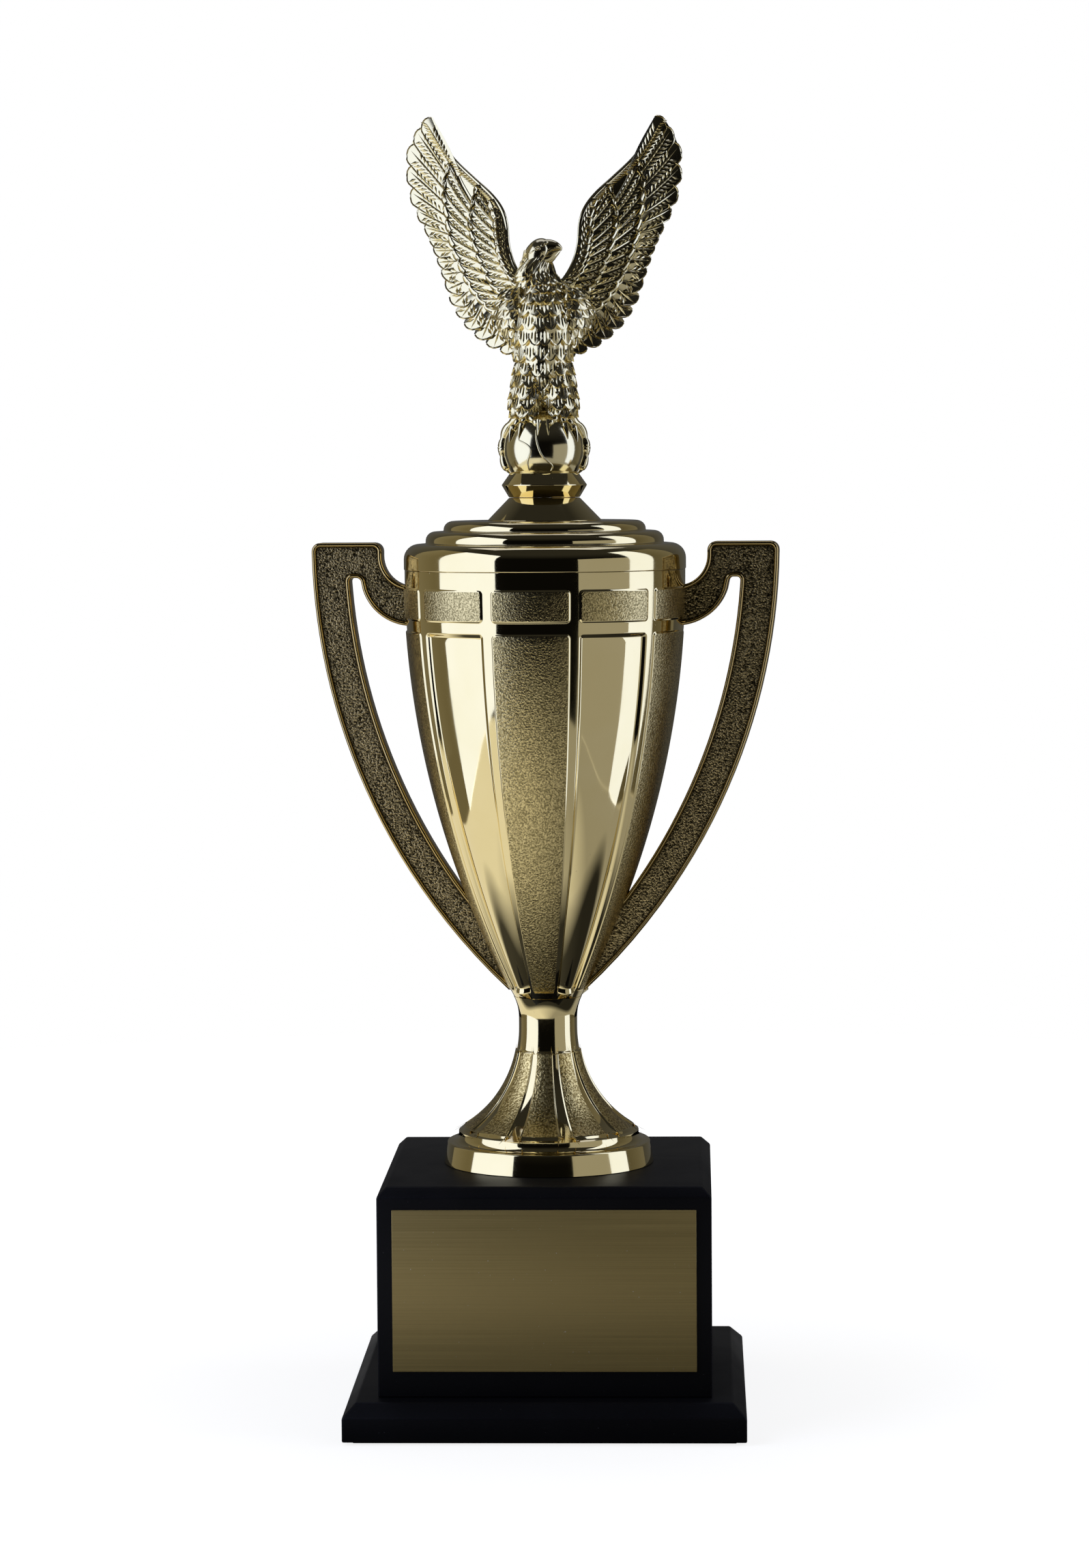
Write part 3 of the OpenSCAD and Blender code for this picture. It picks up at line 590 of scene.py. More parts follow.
def makeBowl():
    b = bowl
    bm = tileRound([bowlTile(False), bowlTile(True)], b["panels"])
    spigotLow = levels("bowl")[0]
    floorZ = b["foot"] + b["floor"]
    inside = [bowlCurve(h, -b["wall"]) for h in steps(rimZ - b["rimRound"], floorZ, b["insideSteps"])]
    outline = [(b["mouthR"] - b["rimEdge"], rimZ), (b["mouthR"] - b["wall"] + b["rimRound"], rimZ)] + inside
    outline += [(b["rodHole"], floorZ), (b["rodHole"], spigotLow), (b["spigotR"], spigotLow),
                (b["spigotR"], b["foot"]), (b["footR"], b["foot"])]
    drawOn(bm, rimZ, outline)
    return turned(bm, cupTurn)


placePiece("cupBowl", makeBowl(), [gold, grainedGold], "base", ["bowl"], 50)


# Handles

handle = {
    "reach": 70.3, "top": 8.3, "barW": 11.1, "barH": 10.6, "slot": 3.6, "armT": 6.6, "armRoot": 12.0,
    "join": 30.6, "tipT": 0.35, "thick": 7.0, "bury": 1.9, "tipBury": 5.0,
    "cornerR": 2.6, "slotR": 1.1, "cornerSteps": 6, "armBend": 72,
    # room left for the rounding of a corner, and points on each curve
    "cornerRoom": 1.2, "slotRoom": 3, "joinRoom": 4, "sideSteps": 26, "armSteps": 14, "barSteps": 22, "rootSteps": 6,
    # half-round bead round the edge, then the field: inset and rise of each step
    "beadH": 0.7,
    "bead": ((0.15, 0.4), (0.25, 0.25), (0.25, 0.05), (0.25, -0.05), (0.25, -0.25), (0.15, -0.5)),
}


def handleOutline():
    h, b = handle, bowl
    top = rimZ + h["top"]
    tip = b["foot"] + b["panelFoot"]
    join = b["foot"] + h["join"]
    barR = h["reach"] - h["barW"]
    armAxis = b["mouthR"] - b["wall"]
    armTop = rimZ - b["rimBand"]
    armLow = armTop - h["armRoot"]
    armOut = barR - h["slot"] - armAxis
    armIn = armOut - h["armT"]
    slotTop = top - h["barH"]

    def sideArc(farR, nearR, low):
        # upright at the top, through (nearR, low)
        arc = arcRadius(farR - nearR, top - low)
        return lambda z: farR - arc + math.sqrt(arc * arc - (top - z) ** 2)

    outer = sideArc(h["reach"], bowlCurve(tip, 0)[0] + h["tipT"], tip)
    inner = sideArc(barR, bowlCurve(join, 0)[0], join)
    points = [(outer(z), z, 0) for z in steps(tip, top - h["cornerR"] * h["cornerRoom"], h["sideSteps"])]
    points += [(h["reach"], top, h["cornerR"]), (armAxis + armIn, top, h["cornerR"])]
    points += [(armAxis + armIn * math.cos(a), armTop + armIn - armIn * math.sin(a), 0)
               for a in steps(0, math.pi / 2, h["armSteps"])]
    points += [(armAxis, armLow, 0)]
    points += [(armAxis + armOut * math.sin(a), armLow + armOut - armOut * math.cos(a), 0)
               for a in steps(0, math.radians(h["armBend"]), h["armSteps"])[1:]]
    points += [(barR - h["slot"], slotTop, h["slotR"]), (inner(slotTop), slotTop, h["slotR"])]
    points += [(inner(z), z, 0) for z in steps(slotTop - h["slotRoom"], join, h["barSteps"])]
    points += [(bowlCurve(z, -h["bury"])[0], z, 0)
               for z in steps(join - h["joinRoom"], b["foot"] + b["floor"], h["rootSteps"])]
    points += [(bowlCurve(tip, 0)[0] - h["tipBury"], tip, 0)]
    return points


def makeHandle(side):
    h = handle
    half = h["thick"] / 2 - h["beadH"]
    bm = closedOutline(handleOutline(), -half, h["cornerSteps"])
    face = bmesh.ops.contextual_create(bm, geom=bm.edges[:])["faces"][0]
    thicken(bm, [face], (0, 2 * half, 0))
    bmesh.ops.recalc_face_normals(bm, faces=bm.faces)
    for cap in sorted(bm.faces, key=lambda f: -f.calc_area())[:2]:
        outward = -1 if cap.calc_center_median().y < 0 else 1
        for width, rise in h["bead"]:
            bmesh.ops.inset_individual(bm, faces=[cap], thickness=width, use_even_offset=True)
            bmesh.ops.translate(bm, vec=(0, outward * rise, 0), verts=cap.verts)
        cap.material_index = 1
    return turned(bm, cupTurn + side)


for name, side, node in (("handleRight", 0, "handle_right"), ("handleLeft", 180, "handle_left")):
    placePiece(name, makeHandle(side), [bronze, grainedBronze], "base", [node], 50)


# Lid and finial

lid = {
    "rimR": 42.3, "rimH": 7.8, "midR": 35.7, "midH": 3.7, "topR": 30.3, "rimRound": 4.5, "ringRound": 2.8,
    "wall": 2.2, "skirtR": 39.55, "skirtT": 1.8, "skirtEdge": 0.3, "seam": 0.35, "gap": 0.1, "fillet": 0.5,
    "hole": 2.8,
}
finial = {"coneR": 17.2, "waistR": 10.6, "collarR": 12.8, "seatR": 10.2, "crease": 0.25, "edge": 0.2}


def makeLid():
    k = lid
    skirt, top = levels("lid")
    low = rimZ + k["gap"]
    rim = low + k["rimH"]
    mid = rim + k["midH"]
    inner = k["skirtR"] - k["skirtT"]
    wall = k["wall"]
    return spinProfile([
        (k["skirtR"], skirt, k["skirtEdge"]), (k["skirtR"], low, 0), (k["rimR"], low, k["seam"]),
        (k["rimR"], rim, k["rimRound"]), (k["midR"], rim, k["fillet"]), (k["midR"], mid, k["ringRound"]),
        (k["topR"], mid, k["fillet"]), (k["topR"], top, k["ringRound"]), (k["hole"], top, 0),
        (k["hole"], top - wall, 0), (k["topR"] - wall, top - wall, 0), (k["topR"] - wall, mid - wall, 0),
        (k["midR"] - wall, mid - wall, 0), (k["midR"] - wall, rim - wall, 0), (inner, rim - wall, 0),
        (inner, skirt, k["skirtEdge"])])


placePiece("cupLid", makeLid(), [gold], "lid", ["lid"], 50)


def makeCone():
    k = finial
    low, top = levels("finial_cone")
    return spinProfile([(k["coneR"], low, k["crease"]), (k["waistR"], top, k["crease"]),
                        (lid["hole"], top, 0), (lid["hole"], low, 0)])


def makeCollar():
    k = finial
    low, top = levels("finial_collar")
    return spinProfile([(k["waistR"], low, k["crease"]), (k["collarR"], (low + top) / 2, k["edge"]),
                        (k["seatR"], top, k["crease"]), (lid["hole"], top, 0), (lid["hole"], low, 0)])


placePiece("lidCone", makeCone(), [gold], "lid", ["finial_cone"])
placePiece("figureCollar", makeCollar(), [gold], "figure", ["finial_collar"])


# Ball under the eagle

ball = {
    "r": 12.2, "sides": 128, "rings": 60, "seatIn": 0.3, "topOpen": 0.25,
    "threadR": 0.32, "threadTaper": (0.08, 0.84), "threadSteps": 36, "threadSides": 10,
    # raised wavy threads on the front of the ball, as (x, height) from its middle
    "threads": (((-7.2, 2.6), (-3.7, 0.1), (-4.5, -3.8), (-4.1, -6.6)),
                ((-2.1, 5.5), (-1.7, 1.8), (-0.2, -2.1), (2.7, -5.0), (2.3, -6.6))),
}
ballZ = levels("finial_collar")[1] + math.sqrt(ball["r"] ** 2 - (finial["seatR"] - ball["seatIn"]) ** 2)


def makeBall():
    r = ball["r"]
    seat = levels("perch_ball")[0]
    start = math.asin((seat - ballZ) / r)
    arc = [(r * math.cos(a), ballZ + r * math.sin(a), 0)
           for a in steps(start, math.pi / 2 - ball["topOpen"], ball["rings"])]
    bm = spinProfile(arc + [(lid["hole"], arc[-1][1], 0), (lid["hole"], seat, 0)], ball["sides"])
    first, run = ball["threadTaper"]
    shares = steps(0, 1, ball["threadSteps"])
    radii = [ball["threadR"] * math.sin(math.pi * (first + run * t)) ** 0.5 for t in shares]
    for thread in ball["threads"]:
        path = [Vector((x, -math.sqrt(r * r - x * x - z * z), ballZ + z))
                for x, z in (smoothAt(thread, t) for t in shares)]
        addTube(bm, path, radii, ball["threadSides"])
    return bm


placePiece("perchBall", makeBall(), [paleGold], "figure", ["perch_ball"])


# Eagle, modelled about the middle of its ball

eagleTurn = 0.5


def spindleMesh(rings):
    # long way along X, so that the rings lie across it
    bm = bmesh.new()
    bmesh.ops.create_uvsphere(bm, u_segments=4, v_segments=rings, radius=1,
                              matrix=Matrix.Rotation(math.pi / 2, 4, "Y"))
    return asMesh(bm)


def bladeMesh(across, along):
    # a flat feather sheet, x from -1 to 1 and y from 0 at the root to 1 at the tip, one unit thick
    bm = bmesh.new()
    bmesh.ops.create_grid(bm, x_segments=across, y_segments=along, size=1)
    bmesh.ops.transform(bm, matrix=Matrix.Translation((0, 0.5, 0)) @ Matrix.Diagonal((1, 0.5, 1, 1)), verts=bm.verts)
    thicken(bm, bm.faces[:], (0, 0, -1))
    return asMesh(bm)


barb = spindleMesh(2)
groove = spindleMesh(3)
longBlade = bladeMesh(4, 6)
shortBlade = bladeMesh(4, 3)
plume = {
    # shares of a feather's length and of its half width, and how the blade's points crowd to its edges
    "taperTo": 0.6, "rimSide": 0.97, "rimTop": 0.95, "rimOver": 0.86, "rimTip": 0.995, "lineFan": 1.1,
    "barbTo": 0.88, "barbIn": 0.12, "barbOut": 0.84, "barbEnd": 0.98, "crowdAcross": 0.8, "crowdAlong": 1.4,
}


def addSpindle(bm, spindle, start, end, width, height, outward):
    # a thin raised line with tapered ends
    along = (end - start) / 2
    sideways = along.cross(outward).normalized() * width / 2
    lift = outward * height
    middle = (start + end) / 2
    rows = [[along[i], sideways[i], lift[i], middle[i]] for i in range(3)]
    stamp(bm, spindle, Matrix(rows + [[0, 0, 0, 1]]))


def addFeather(bm, root, tip, width, outward, form):
    # one feather: a bowed blade, a thin raised rim, lines along it and barbs to both sides
    axis = tip - root
    long = axis.length
    sideways = axis.cross(outward).normalized()

    def spot(u, s, sink=0.0):
        taper = form["root"] + (1 - form["root"]) * math.sin(min(s / plume["taperTo"], 1) * math.pi / 2)
        reach = s - form["round"] * (u - form["peak"]) ** 2 * s ** 3 * width / long
        across = u * width / 2 * taper + form["bow"] * long * math.sin(math.pi * s)
        level = form["camber"] * (1 - u * u) + form["tilt"] * u + form["lift"] * s - sink
        return root + axis * reach + sideways * across + outward * level

    blade = form["blade"].copy()
    for vert in blade.vertices:
        x, y, z = vert.co
        u, s = math.copysign(abs(x) ** plume["crowdAcross"], x), 1 - (1 - y) ** plume["crowdAlong"]
        vert.co = spot(u, s, form["thick"] if z < -0.5 else 0.0)
    bm.from_mesh(blade)
    bpy.data.meshes.remove(blade)
    if form["rimR"]:
        up, over, down, sides = form["rimSteps"]
        side, top = plume["rimSide"], plume["rimTop"]
        path = [spot(side, s) for s in steps(form["rimFrom"], top, up)]
        path += [spot(u, plume["rimTip"]) for u in steps(plume["rimOver"], -plume["rimOver"], over)]
        path += [spot(-side, s) for s in steps(top, form["rimTo"], down)] if form["rimTo"] < top else []
        addTube(bm, path, [form["rimR"]] * len(path), sides)
    for u, first, last in form["lines"]:
        addSpindle(bm, groove, spot(u, first), spot(u * plume["lineFan"], last), form["lineW"],
                   form["lineW"] * form["ridge"], outward)
    count = int(long * (plume["barbTo"] - form["barbStart"]) / form["barbPitch"]) if form["barbPitch"] else 0
    for k in range(count):
        s = form["barbStart"] + k * form["barbPitch"] / long
        end = min(s + form["barbRun"] / long, plume["barbEnd"])
        for u in (-1, 1):
            addSpindle(bm, barb, spot(u * plume["barbIn"], s), spot(u * plume["barbOut"], end), form["barbW"],
                       form["barbW"] * form["ridge"], outward)


longFeather = {"blade": longBlade, "root": 0.6, "round": 0.3, "peak": -0.25, "bow": 0.0, "camber": 0.18, "tilt": 0.2,
               "lift": 0.1, "thick": 1.0, "rimR": 0.24, "rimFrom": 0.3, "rimTo": 1.0, "rimSteps": (4, 5, 3, 4),
               "lines": ((0, 0.02, 0.95),), "lineW": 0.7, "ridge": 0.45,
               "barbStart": 0.26, "barbPitch": 1.6, "barbRun": 2.8, "barbW": 1.0}
midFeather = dict(longFeather, bow=0.05, rimR=0.28, rimFrom=0.12, barbPitch=1.5, barbRun=2.4, barbW=0.85)
shortFeather = dict(midFeather, barbRun=2.2, barbW=0.8)
covert = dict(shortFeather, bow=0.0, rimR=0.2, rimFrom=0.3, barbPitch=1.3, barbRun=1.6, barbW=0.65)

wing = {
    "halfSpan": 41.8, "rise": 75.0, "hip": 26.9, "sweep": 17.0, "lean": 12.0, "setBack": -2.25,
    "core": 0.1, "coreReach": 0.94, "rollRoot": 1.0, "rollTip": 0.5, "rollEnd": 0.5, "rollSteps": 48, "rollSides": 14,
    "narrowest": 3.0, "widest": 6.6, "rootSink": 0.3, "flatten": 0.75,
    "scallop": 0.9, "hemLift": 0.4, "hemSteps": 4, "hemSides": 5,
    # short barbs along the upper front edge
    "edgeBarbs": 34, "edgeFrom": 0.5, "edgeTo": 0.97, "edgeIn": 0.5, "edgeStand": 0.9, "edgeAlong": 2.2,
    "edgeInward": 1.5, "edgeW": 0.55, "edgeH": 0.35,
    # front edge, feather tips and the places where feathers come out, as shares of the half span and of the rise
    "lead": ((0.03, 0.25), (0.13, 0.295), (0.215, 0.37), (0.258, 0.455), (0.27, 0.54), (0.307, 0.603), (0.386, 0.662),
             (0.513, 0.729), (0.652, 0.806), (0.762, 0.892), (0.846, 0.968)),
    "trail": ((0.18, 0.0), (0.36, 0.042), (0.53, 0.118), (0.655, 0.219), (0.74, 0.342), (0.8, 0.439), (0.868, 0.535),
              (0.97, 0.681), (0.985, 0.86), (0.868, 0.972)),
    "trailFrom": ((0.15, 0.1), (0.3, 0.14), (0.45, 0.2), (0.555, 0.267), (0.62, 0.349), (0.665, 0.439), (0.705, 0.507),
                  (0.74, 0.59), (0.74, 0.7), (0.685, 0.79)),
    "second": ((0.225, 0.131), (0.347, 0.168), (0.452, 0.222), (0.55, 0.3), (0.62, 0.385), (0.683, 0.483),
               (0.715, 0.59), (0.73, 0.69), (0.695, 0.79)),
    "secondFrom": ((0.125, 0.178), (0.227, 0.198), (0.31, 0.229), (0.39, 0.27), (0.45, 0.346), (0.503, 0.425),
                   (0.535, 0.5), (0.54, 0.563), (0.525, 0.63)),
    "third": ((0.201, 0.206), (0.31, 0.253), (0.383, 0.295), (0.433, 0.352), (0.487, 0.418), (0.523, 0.49),
              (0.542, 0.562), (0.521, 0.63), (0.489, 0.695)),
    "thirdFrom": ((0.1, 0.246), (0.17, 0.27), (0.218, 0.287), (0.253, 0.325), (0.297, 0.37), (0.327, 0.419),
                  (0.352, 0.465), (0.354, 0.53), (0.38, 0.59)),
    "fourth": ((0.16, 0.255), (0.23, 0.302), (0.29, 0.37), (0.325, 0.425), (0.34, 0.486), (0.35, 0.56), (0.39, 0.635)),
    "fourthFrom": ((0.06, 0.28), (0.12, 0.3), (0.2, 0.335), (0.245, 0.37), (0.268, 0.42), (0.275, 0.49), (0.3, 0.56)),
}
wingRows = (
    # row, feathers, how far the root lies under the row before, overlap, stand, bead along the tips and form
    ("trail", 19, 0.3, 1.3, 0.55, 0, longFeather), ("second", 15, 0.35, 1.3, 1.0, 0.42, midFeather),
    ("third", 13, 0.2, 1.3, 1.4, 0.4, shortFeather), ("fourth", 13, 0.1, 1.4, 1.75, 0.3, covert),
)


def wingPoint(name, t):
    x, z = smoothAt(wing[name], t)
    return Vector((x * wing["halfSpan"], 0, z * wing["rise"] + wing["hip"]))


def rowStand(stand, t):
    # flatter towards the upper end of the row
    low = wingRows[0][4]
    return low + (stand - low) * (1 - wing["flatten"] * t ** 3)


def addWingRow(bm, row, count, tuck, overlap, stand, hem, form):
    shares = steps(0, 1, count - 1)
    tips = [wingPoint(row, t) for t in shares]
    for k, (t, tip) in enumerate(zip(shares, tips)):
        start = wingPoint(row + "From", t)
        axis = tip - start
        # as wide as the gap between neighbours, square to the feather
        before, after = tips[max(k - 1, 0)], tips[min(k + 1, count - 1)]
        gap = (after - before).cross(axis.normalized()).length / (1 if k in (0, count - 1) else 2)
        width = min(max(gap * overlap, wing["narrowest"]), wing["widest"])
        rise = front * rowStand(stand, t)
        addFeather(bm, start - axis * tuck + rise - front * wing["rootSink"], tip + rise, width, front, form)
    if hem:
        path = []
        for t in steps(0, 1, (count - 1) * wing["hemSteps"]):
            scallop = wing["scallop"] * (1 - abs(math.cos(math.pi * t * (count - 1))))
            start, tip = wingPoint(row + "From", t), wingPoint(row, t)
            rise = front * (rowStand(stand, t) + wing["hemLift"])
            path.append(tip + (start - tip).normalized() * (scallop + hem) + rise)
        addTube(bm, path, [hem] * len(path), wing["hemSides"])


def wingSide():
    # one face of the +X wing, flat, facing -Y
    bm = bmesh.new()
    core = bmesh.new()
    bmesh.ops.create_grid(core, x_segments=28, y_segments=4, size=0.5)
    for vert in core.verts:
        t, v = vert.co.x + 0.5, (vert.co.y + 0.5) * wing["coreReach"]
        lead, trail = wingPoint("lead", t), wingPoint("trail", t)
        vert.co = lead + (trail - lead) * v + front * wing["core"]
    thicken(core, core.faces[:], front * -wing["core"])
    stamp(bm, asMesh(core))
    for row in wingRows:
        addWingRow(bm, *row)
    for t in steps(wing["edgeFrom"], wing["edgeTo"], wing["edgeBarbs"]):
        here, onward = wingPoint("lead", t), wingPoint("lead", t + 1 - wing["edgeTo"])
        along = (onward - here).normalized()
        inward = along.cross(front).normalized()
        start = here + inward * wing["edgeIn"] + front * wing["edgeStand"]
        end = start + along * wing["edgeAlong"] + inward * wing["edgeInward"]
        addSpindle(bm, barb, start, end, wing["edgeW"], wing["edgeH"], front)
    return asMesh(bm)


def wingRoll():
    # smooth rounded front edge
    path = [wingPoint("lead", t) for t in steps(0, 1, wing["rollSteps"])]
    radii = steps(wing["rollRoot"], wing["rollTip"], wing["rollSteps"])
    radii[-1] *= wing["rollEnd"]
    return asMesh(sweepRings(pathRings(path, radii), wing["rollSides"]))


def addWings(bm):
    side = wingSide()
    roll = wingRoll()
    lean = wing["lean"] / wing["rise"]
    shear = Matrix.Identity(4)
    shear[1][0] = wing["sweep"] / wing["halfSpan"]
    shear[1][2] = lean
    shear[1][3] = wing["setBack"] - lean * wing["hip"]
    for mirror in (1, -1):
        flip = Matrix.Diagonal((mirror, 1, 1, 1))
        stamp(bm, roll, flip @ shear)
        for face in (1, -1):
            stamp(bm, side, flip @ shear @ Matrix.Diagonal((1, face, 1, 1)))


# stations of the body and of a leg: x, y and height of the middle, half width, half depth
body = {
    "stations": ((0, 1.5, 12, 4.5, 4.5), (0, 1.0, 17, 7.0, 6.4), (0, 0, 23, 7.6, 7.4), (0, -0.5, 30.5, 8.6, 8.0),
                 (0, -1.3, 38, 9.1, 8.3), (-0.2, -1.3, 44.5, 7.8, 7.2), (-0.8, -0.9, 49.5, 5.7, 5.5),
                 (-1.9, -0.6, 53.2, 4.6, 4.6), (-1.7, -0.5, 56.0, 4.2, 4.4), (-1.5, -0.7, 58.4, 3.9, 4.0),
                 (-1.1, -0.8, 60.6, 2.9, 3.2), (-0.6, -0.8, 62.1, 0.8, 0.9)),
    "sides": 36, "rings": 44, "keel": 1.25, "sweep": 0.0,
}
leg = {
    "stations": ((4.3, -0.5, 26, 3.8, 4.8), (4.8, -1.4, 20, 4.2, 5.2), (5.2, -2.0, 15, 4.5, 5.0),
                 (5.4, -2.8, 11.6, 4.0, 4.2), (5.0, -3.8, 9.0, 2.6, 2.8)),
    "sides": 24, "rings": 16, "keel": 1.1, "sweep": 0.2,
}
shoulder = {
    "stations": ((5.5, 2.0, 28, 2.0, 2.5), (7.3, 1.6, 33, 4.0, 4.0), (8.9, 1.0, 39, 4.9, 4.5),
                 (8.8, 0.8, 44, 4.3, 4.2), (6.8, 0.6, 48.5, 2.4, 2.6)),
    "sides": 24, "rings": 16, "keel": 1.0, "sweep": 0.75,
}
scale = dict(longFeather, blade=shortBlade, root=0.8, round=0.55, peak=0.0, camber=0.45, tilt=0.0, lift=0.4,
             rimR=0.28, rimFrom=0.5, rimTo=0.5, rimSteps=(2, 4, 2, 3), ridge=0.3, barbPitch=0,
             lines=((-0.45, 0.35, 0.8), (0, 0.3, 0.9), (0.45, 0.35, 0.8)))
hackle = dict(scale, rimR=0.0, root=0.7, round=1.2, lift=0.12, lines=((-0.4, 0.1, 0.9), (0.4, 0.1, 0.9)), lineW=0.75)
tuft = dict(hackle, lift=0.9)
# rows of small feathers: first and last height share, rows, count round, length, width, sideways lean and form
bodyRows = ((0.735, 0.63, 4, 17, 9.0, 2.6, -0.7, hackle), (0.6, 0.1, 10, 15, 6.2, 4.5, 0.0, scale))
shoulderRows = ((0.88, 0.14, 7, 12, 6.2, 4.5, 0.75, scale),)
legRows = ((0.02, 0.62, 5, 9, 6.2, 4.3, 0.0, scale), (0.72, 0.9, 2, 9, 4.6, 2.8, 0.25, tuft))
plumage = {"behind": 0.35, "sink": 0.5, "shareStep": 0.01, "angleStep": 0.02}


def ringSpot(form, share, angle):
    x, y, z, halfWide, halfDeep = smoothAt(form["stations"], share)
    wide, deep = (math.copysign(abs(part) ** form["keel"], part) for part in (math.cos(angle), math.sin(angle)))
    return Vector((x + halfWide * wide, y + halfDeep * deep + form["sweep"] * halfWide * wide, z))


def climb(form, share, angle, reach):
    return ringSpot(form, min(share + reach, 1), angle) - ringSpot(form, max(share - reach, 0), angle)


def outwardAt(form, share, angle):
    onward = ringSpot(form, share, angle + plumage["angleStep"]) - ringSpot(form, share, angle)
    outward = onward.cross(climb(form, share, angle, plumage["shareStep"])).normalized()
    return outward if outward.dot(Vector((math.cos(angle), math.sin(angle), 0))) > 0 else -outward


def ringsOf(form):
    bm = sweepRings([Matrix.Translation((0, 0, t)) for t in steps(0, 1, form["rings"])], form["sides"])
    for vert in bm.verts:
        vert.co = ringSpot(form, vert.co.z, math.atan2(vert.co.y, vert.co.x))
    return asMesh(bm)


def addPlumage(bm, form, rows):
    for first, last, rowCount, count, long, width, lean, feather in rows:
        for j in range(rowCount):
            share = first + (last - first) * j / (rowCount - 1)
            for k in range(count):
                angle = math.tau * (k + 0.5 * (j % 2)) / count
                outward = outwardAt(form, share, angle)
                here = ringSpot(form, share, angle)
                drop = -climb(form, share, angle, 2 * plumage["shareStep"])
                along = drop.normalized() * (1 if drop.z < 0 else -1)
                along = (along + outward.cross(along) * lean).normalized() * long
                root = here - along * plumage["behind"] - outward * plumage["sink"]
                addFeather(bm, root, here + along * (1 - plumage["behind"]), width, outward, feather)


def onBall(turn, down, stand):
    a, d = math.radians(turn), math.radians(down)
    r = ball["r"] + stand
    return Vector((r * math.sin(d) * math.cos(a), r * math.sin(d) * math.sin(a), r * math.cos(d)))


feet = {
    # radius, joints, claw's run, and points as the angle round the ball and the angle down from its top
    "toes": ((1.35, 4, 10, ((-28, 36), (-4, 62), (0, 92), (2, 120))), (1.0, 3, 17, ((-48, 32), (-66, 44), (-82, 54))),
             (1.0, 3, 17, ((-48, 32), (-50, 46), (-52, 60))), (1.0, 3, 17, ((-44, 32), (-36, 50), (-34, 64))),
             (1.1, 3, 14, ((20, 34), (50, 50), (60, 70)))),
    "stand": 0.25, "slim": 0.58, "knuckle": 0.46, "knucklePower": 0.6, "knuckleFrom": 0.02, "jointSteps": 8,
    "clawR": 0.7, "clawBack": 4, "clawStand": 0.75, "clawSink": 0.55, "clawTaper": 0.88, "clawSteps": 8,
}


def addFoot(bm):
    f = feet
    for thick, joints, clawRun, points in f["toes"]:
        shares = steps(0, 1, joints * f["jointSteps"])
        path = [onBall(*smoothAt(points, t), f["stand"] * thick) for t in shares]
        bends = [abs(math.sin(math.pi * joints * (t * (1 - f["knuckleFrom"]) + f["knuckleFrom"]))) for t in shares]
        radii = [thick * (f["slim"] + f["knuckle"] * bend ** f["knucklePower"]) for bend in bends]
        addTube(bm, path, radii, sides=12)
        turn, down = points[-1]
        shares = steps(0, 1, f["clawSteps"])
        path = [onBall(turn, down - f["clawBack"] + (clawRun + f["clawBack"]) * t, f["clawStand"] - f["clawSink"] * t)
                for t in shares]
        addTube(bm, path, [f["clawR"] * (1 - f["clawTaper"] * t) for t in shares], sides=10)


head = {
    "skull": (-1.3, -1.0, 57.9), "skullR": (3.75, 4.3, 4.9), "nod": 30,
    "upper": ((0.6, -1.6, 59.6), (2.4, -2.0, 60.0), (4.0, -2.4, 59.9), (5.1, -2.6, 59.5), (5.5, -2.7, 59.0),
              (5.5, -2.7, 58.6)),
    "upperR": (2.7, 2.1, 1.5, 0.85, 0.4, 0.12),
    "lower": ((-0.5, -1.8, 56.4), (1.6, -2.1, 57.0), (3.2, -2.5, 57.9), (4.5, -2.6, 58.5), (5.3, -2.7, 58.8)),
    "lowerR": (2.6, 2.2, 1.6, 0.95, 0.3),
    # raised lines: lips, brow and the fold behind the eye, each with its points and its thickest radius
    "lines": ((((5.5, -3.0, 59.3), (3.6, -3.85, 59.4), (1.9, -4.0, 58.6), (0.9, -4.5, 57.2)), 0.3),
              (((5.4, -3.0, 58.8), (3.7, -3.95, 58.2), (2.3, -4.25, 57.3), (0.9, -4.5, 57.0)), 0.28),
              (((-0.5, -4.6, 59.8), (0.6, -4.2, 60.7), (1.7, -3.7, 61.4)), 0.6),
              (((-2.2, -5.0, 58.9), (-3.2, -4.6, 58.2), (-4.2, -4.0, 57.7)), 0.28)),
    "beakSteps": 20, "thinnest": 0.05, "lineSteps": 14, "lineEnds": 0.35,
    "eye": (-1.35, -5.05, 59.3), "eyeR": 0.42, "lidR": 0.8, "lidFlat": 0.7, "lidThick": 0.17, "lidSpan": (0.3, 6.1),
    "lidSteps": 18,
}


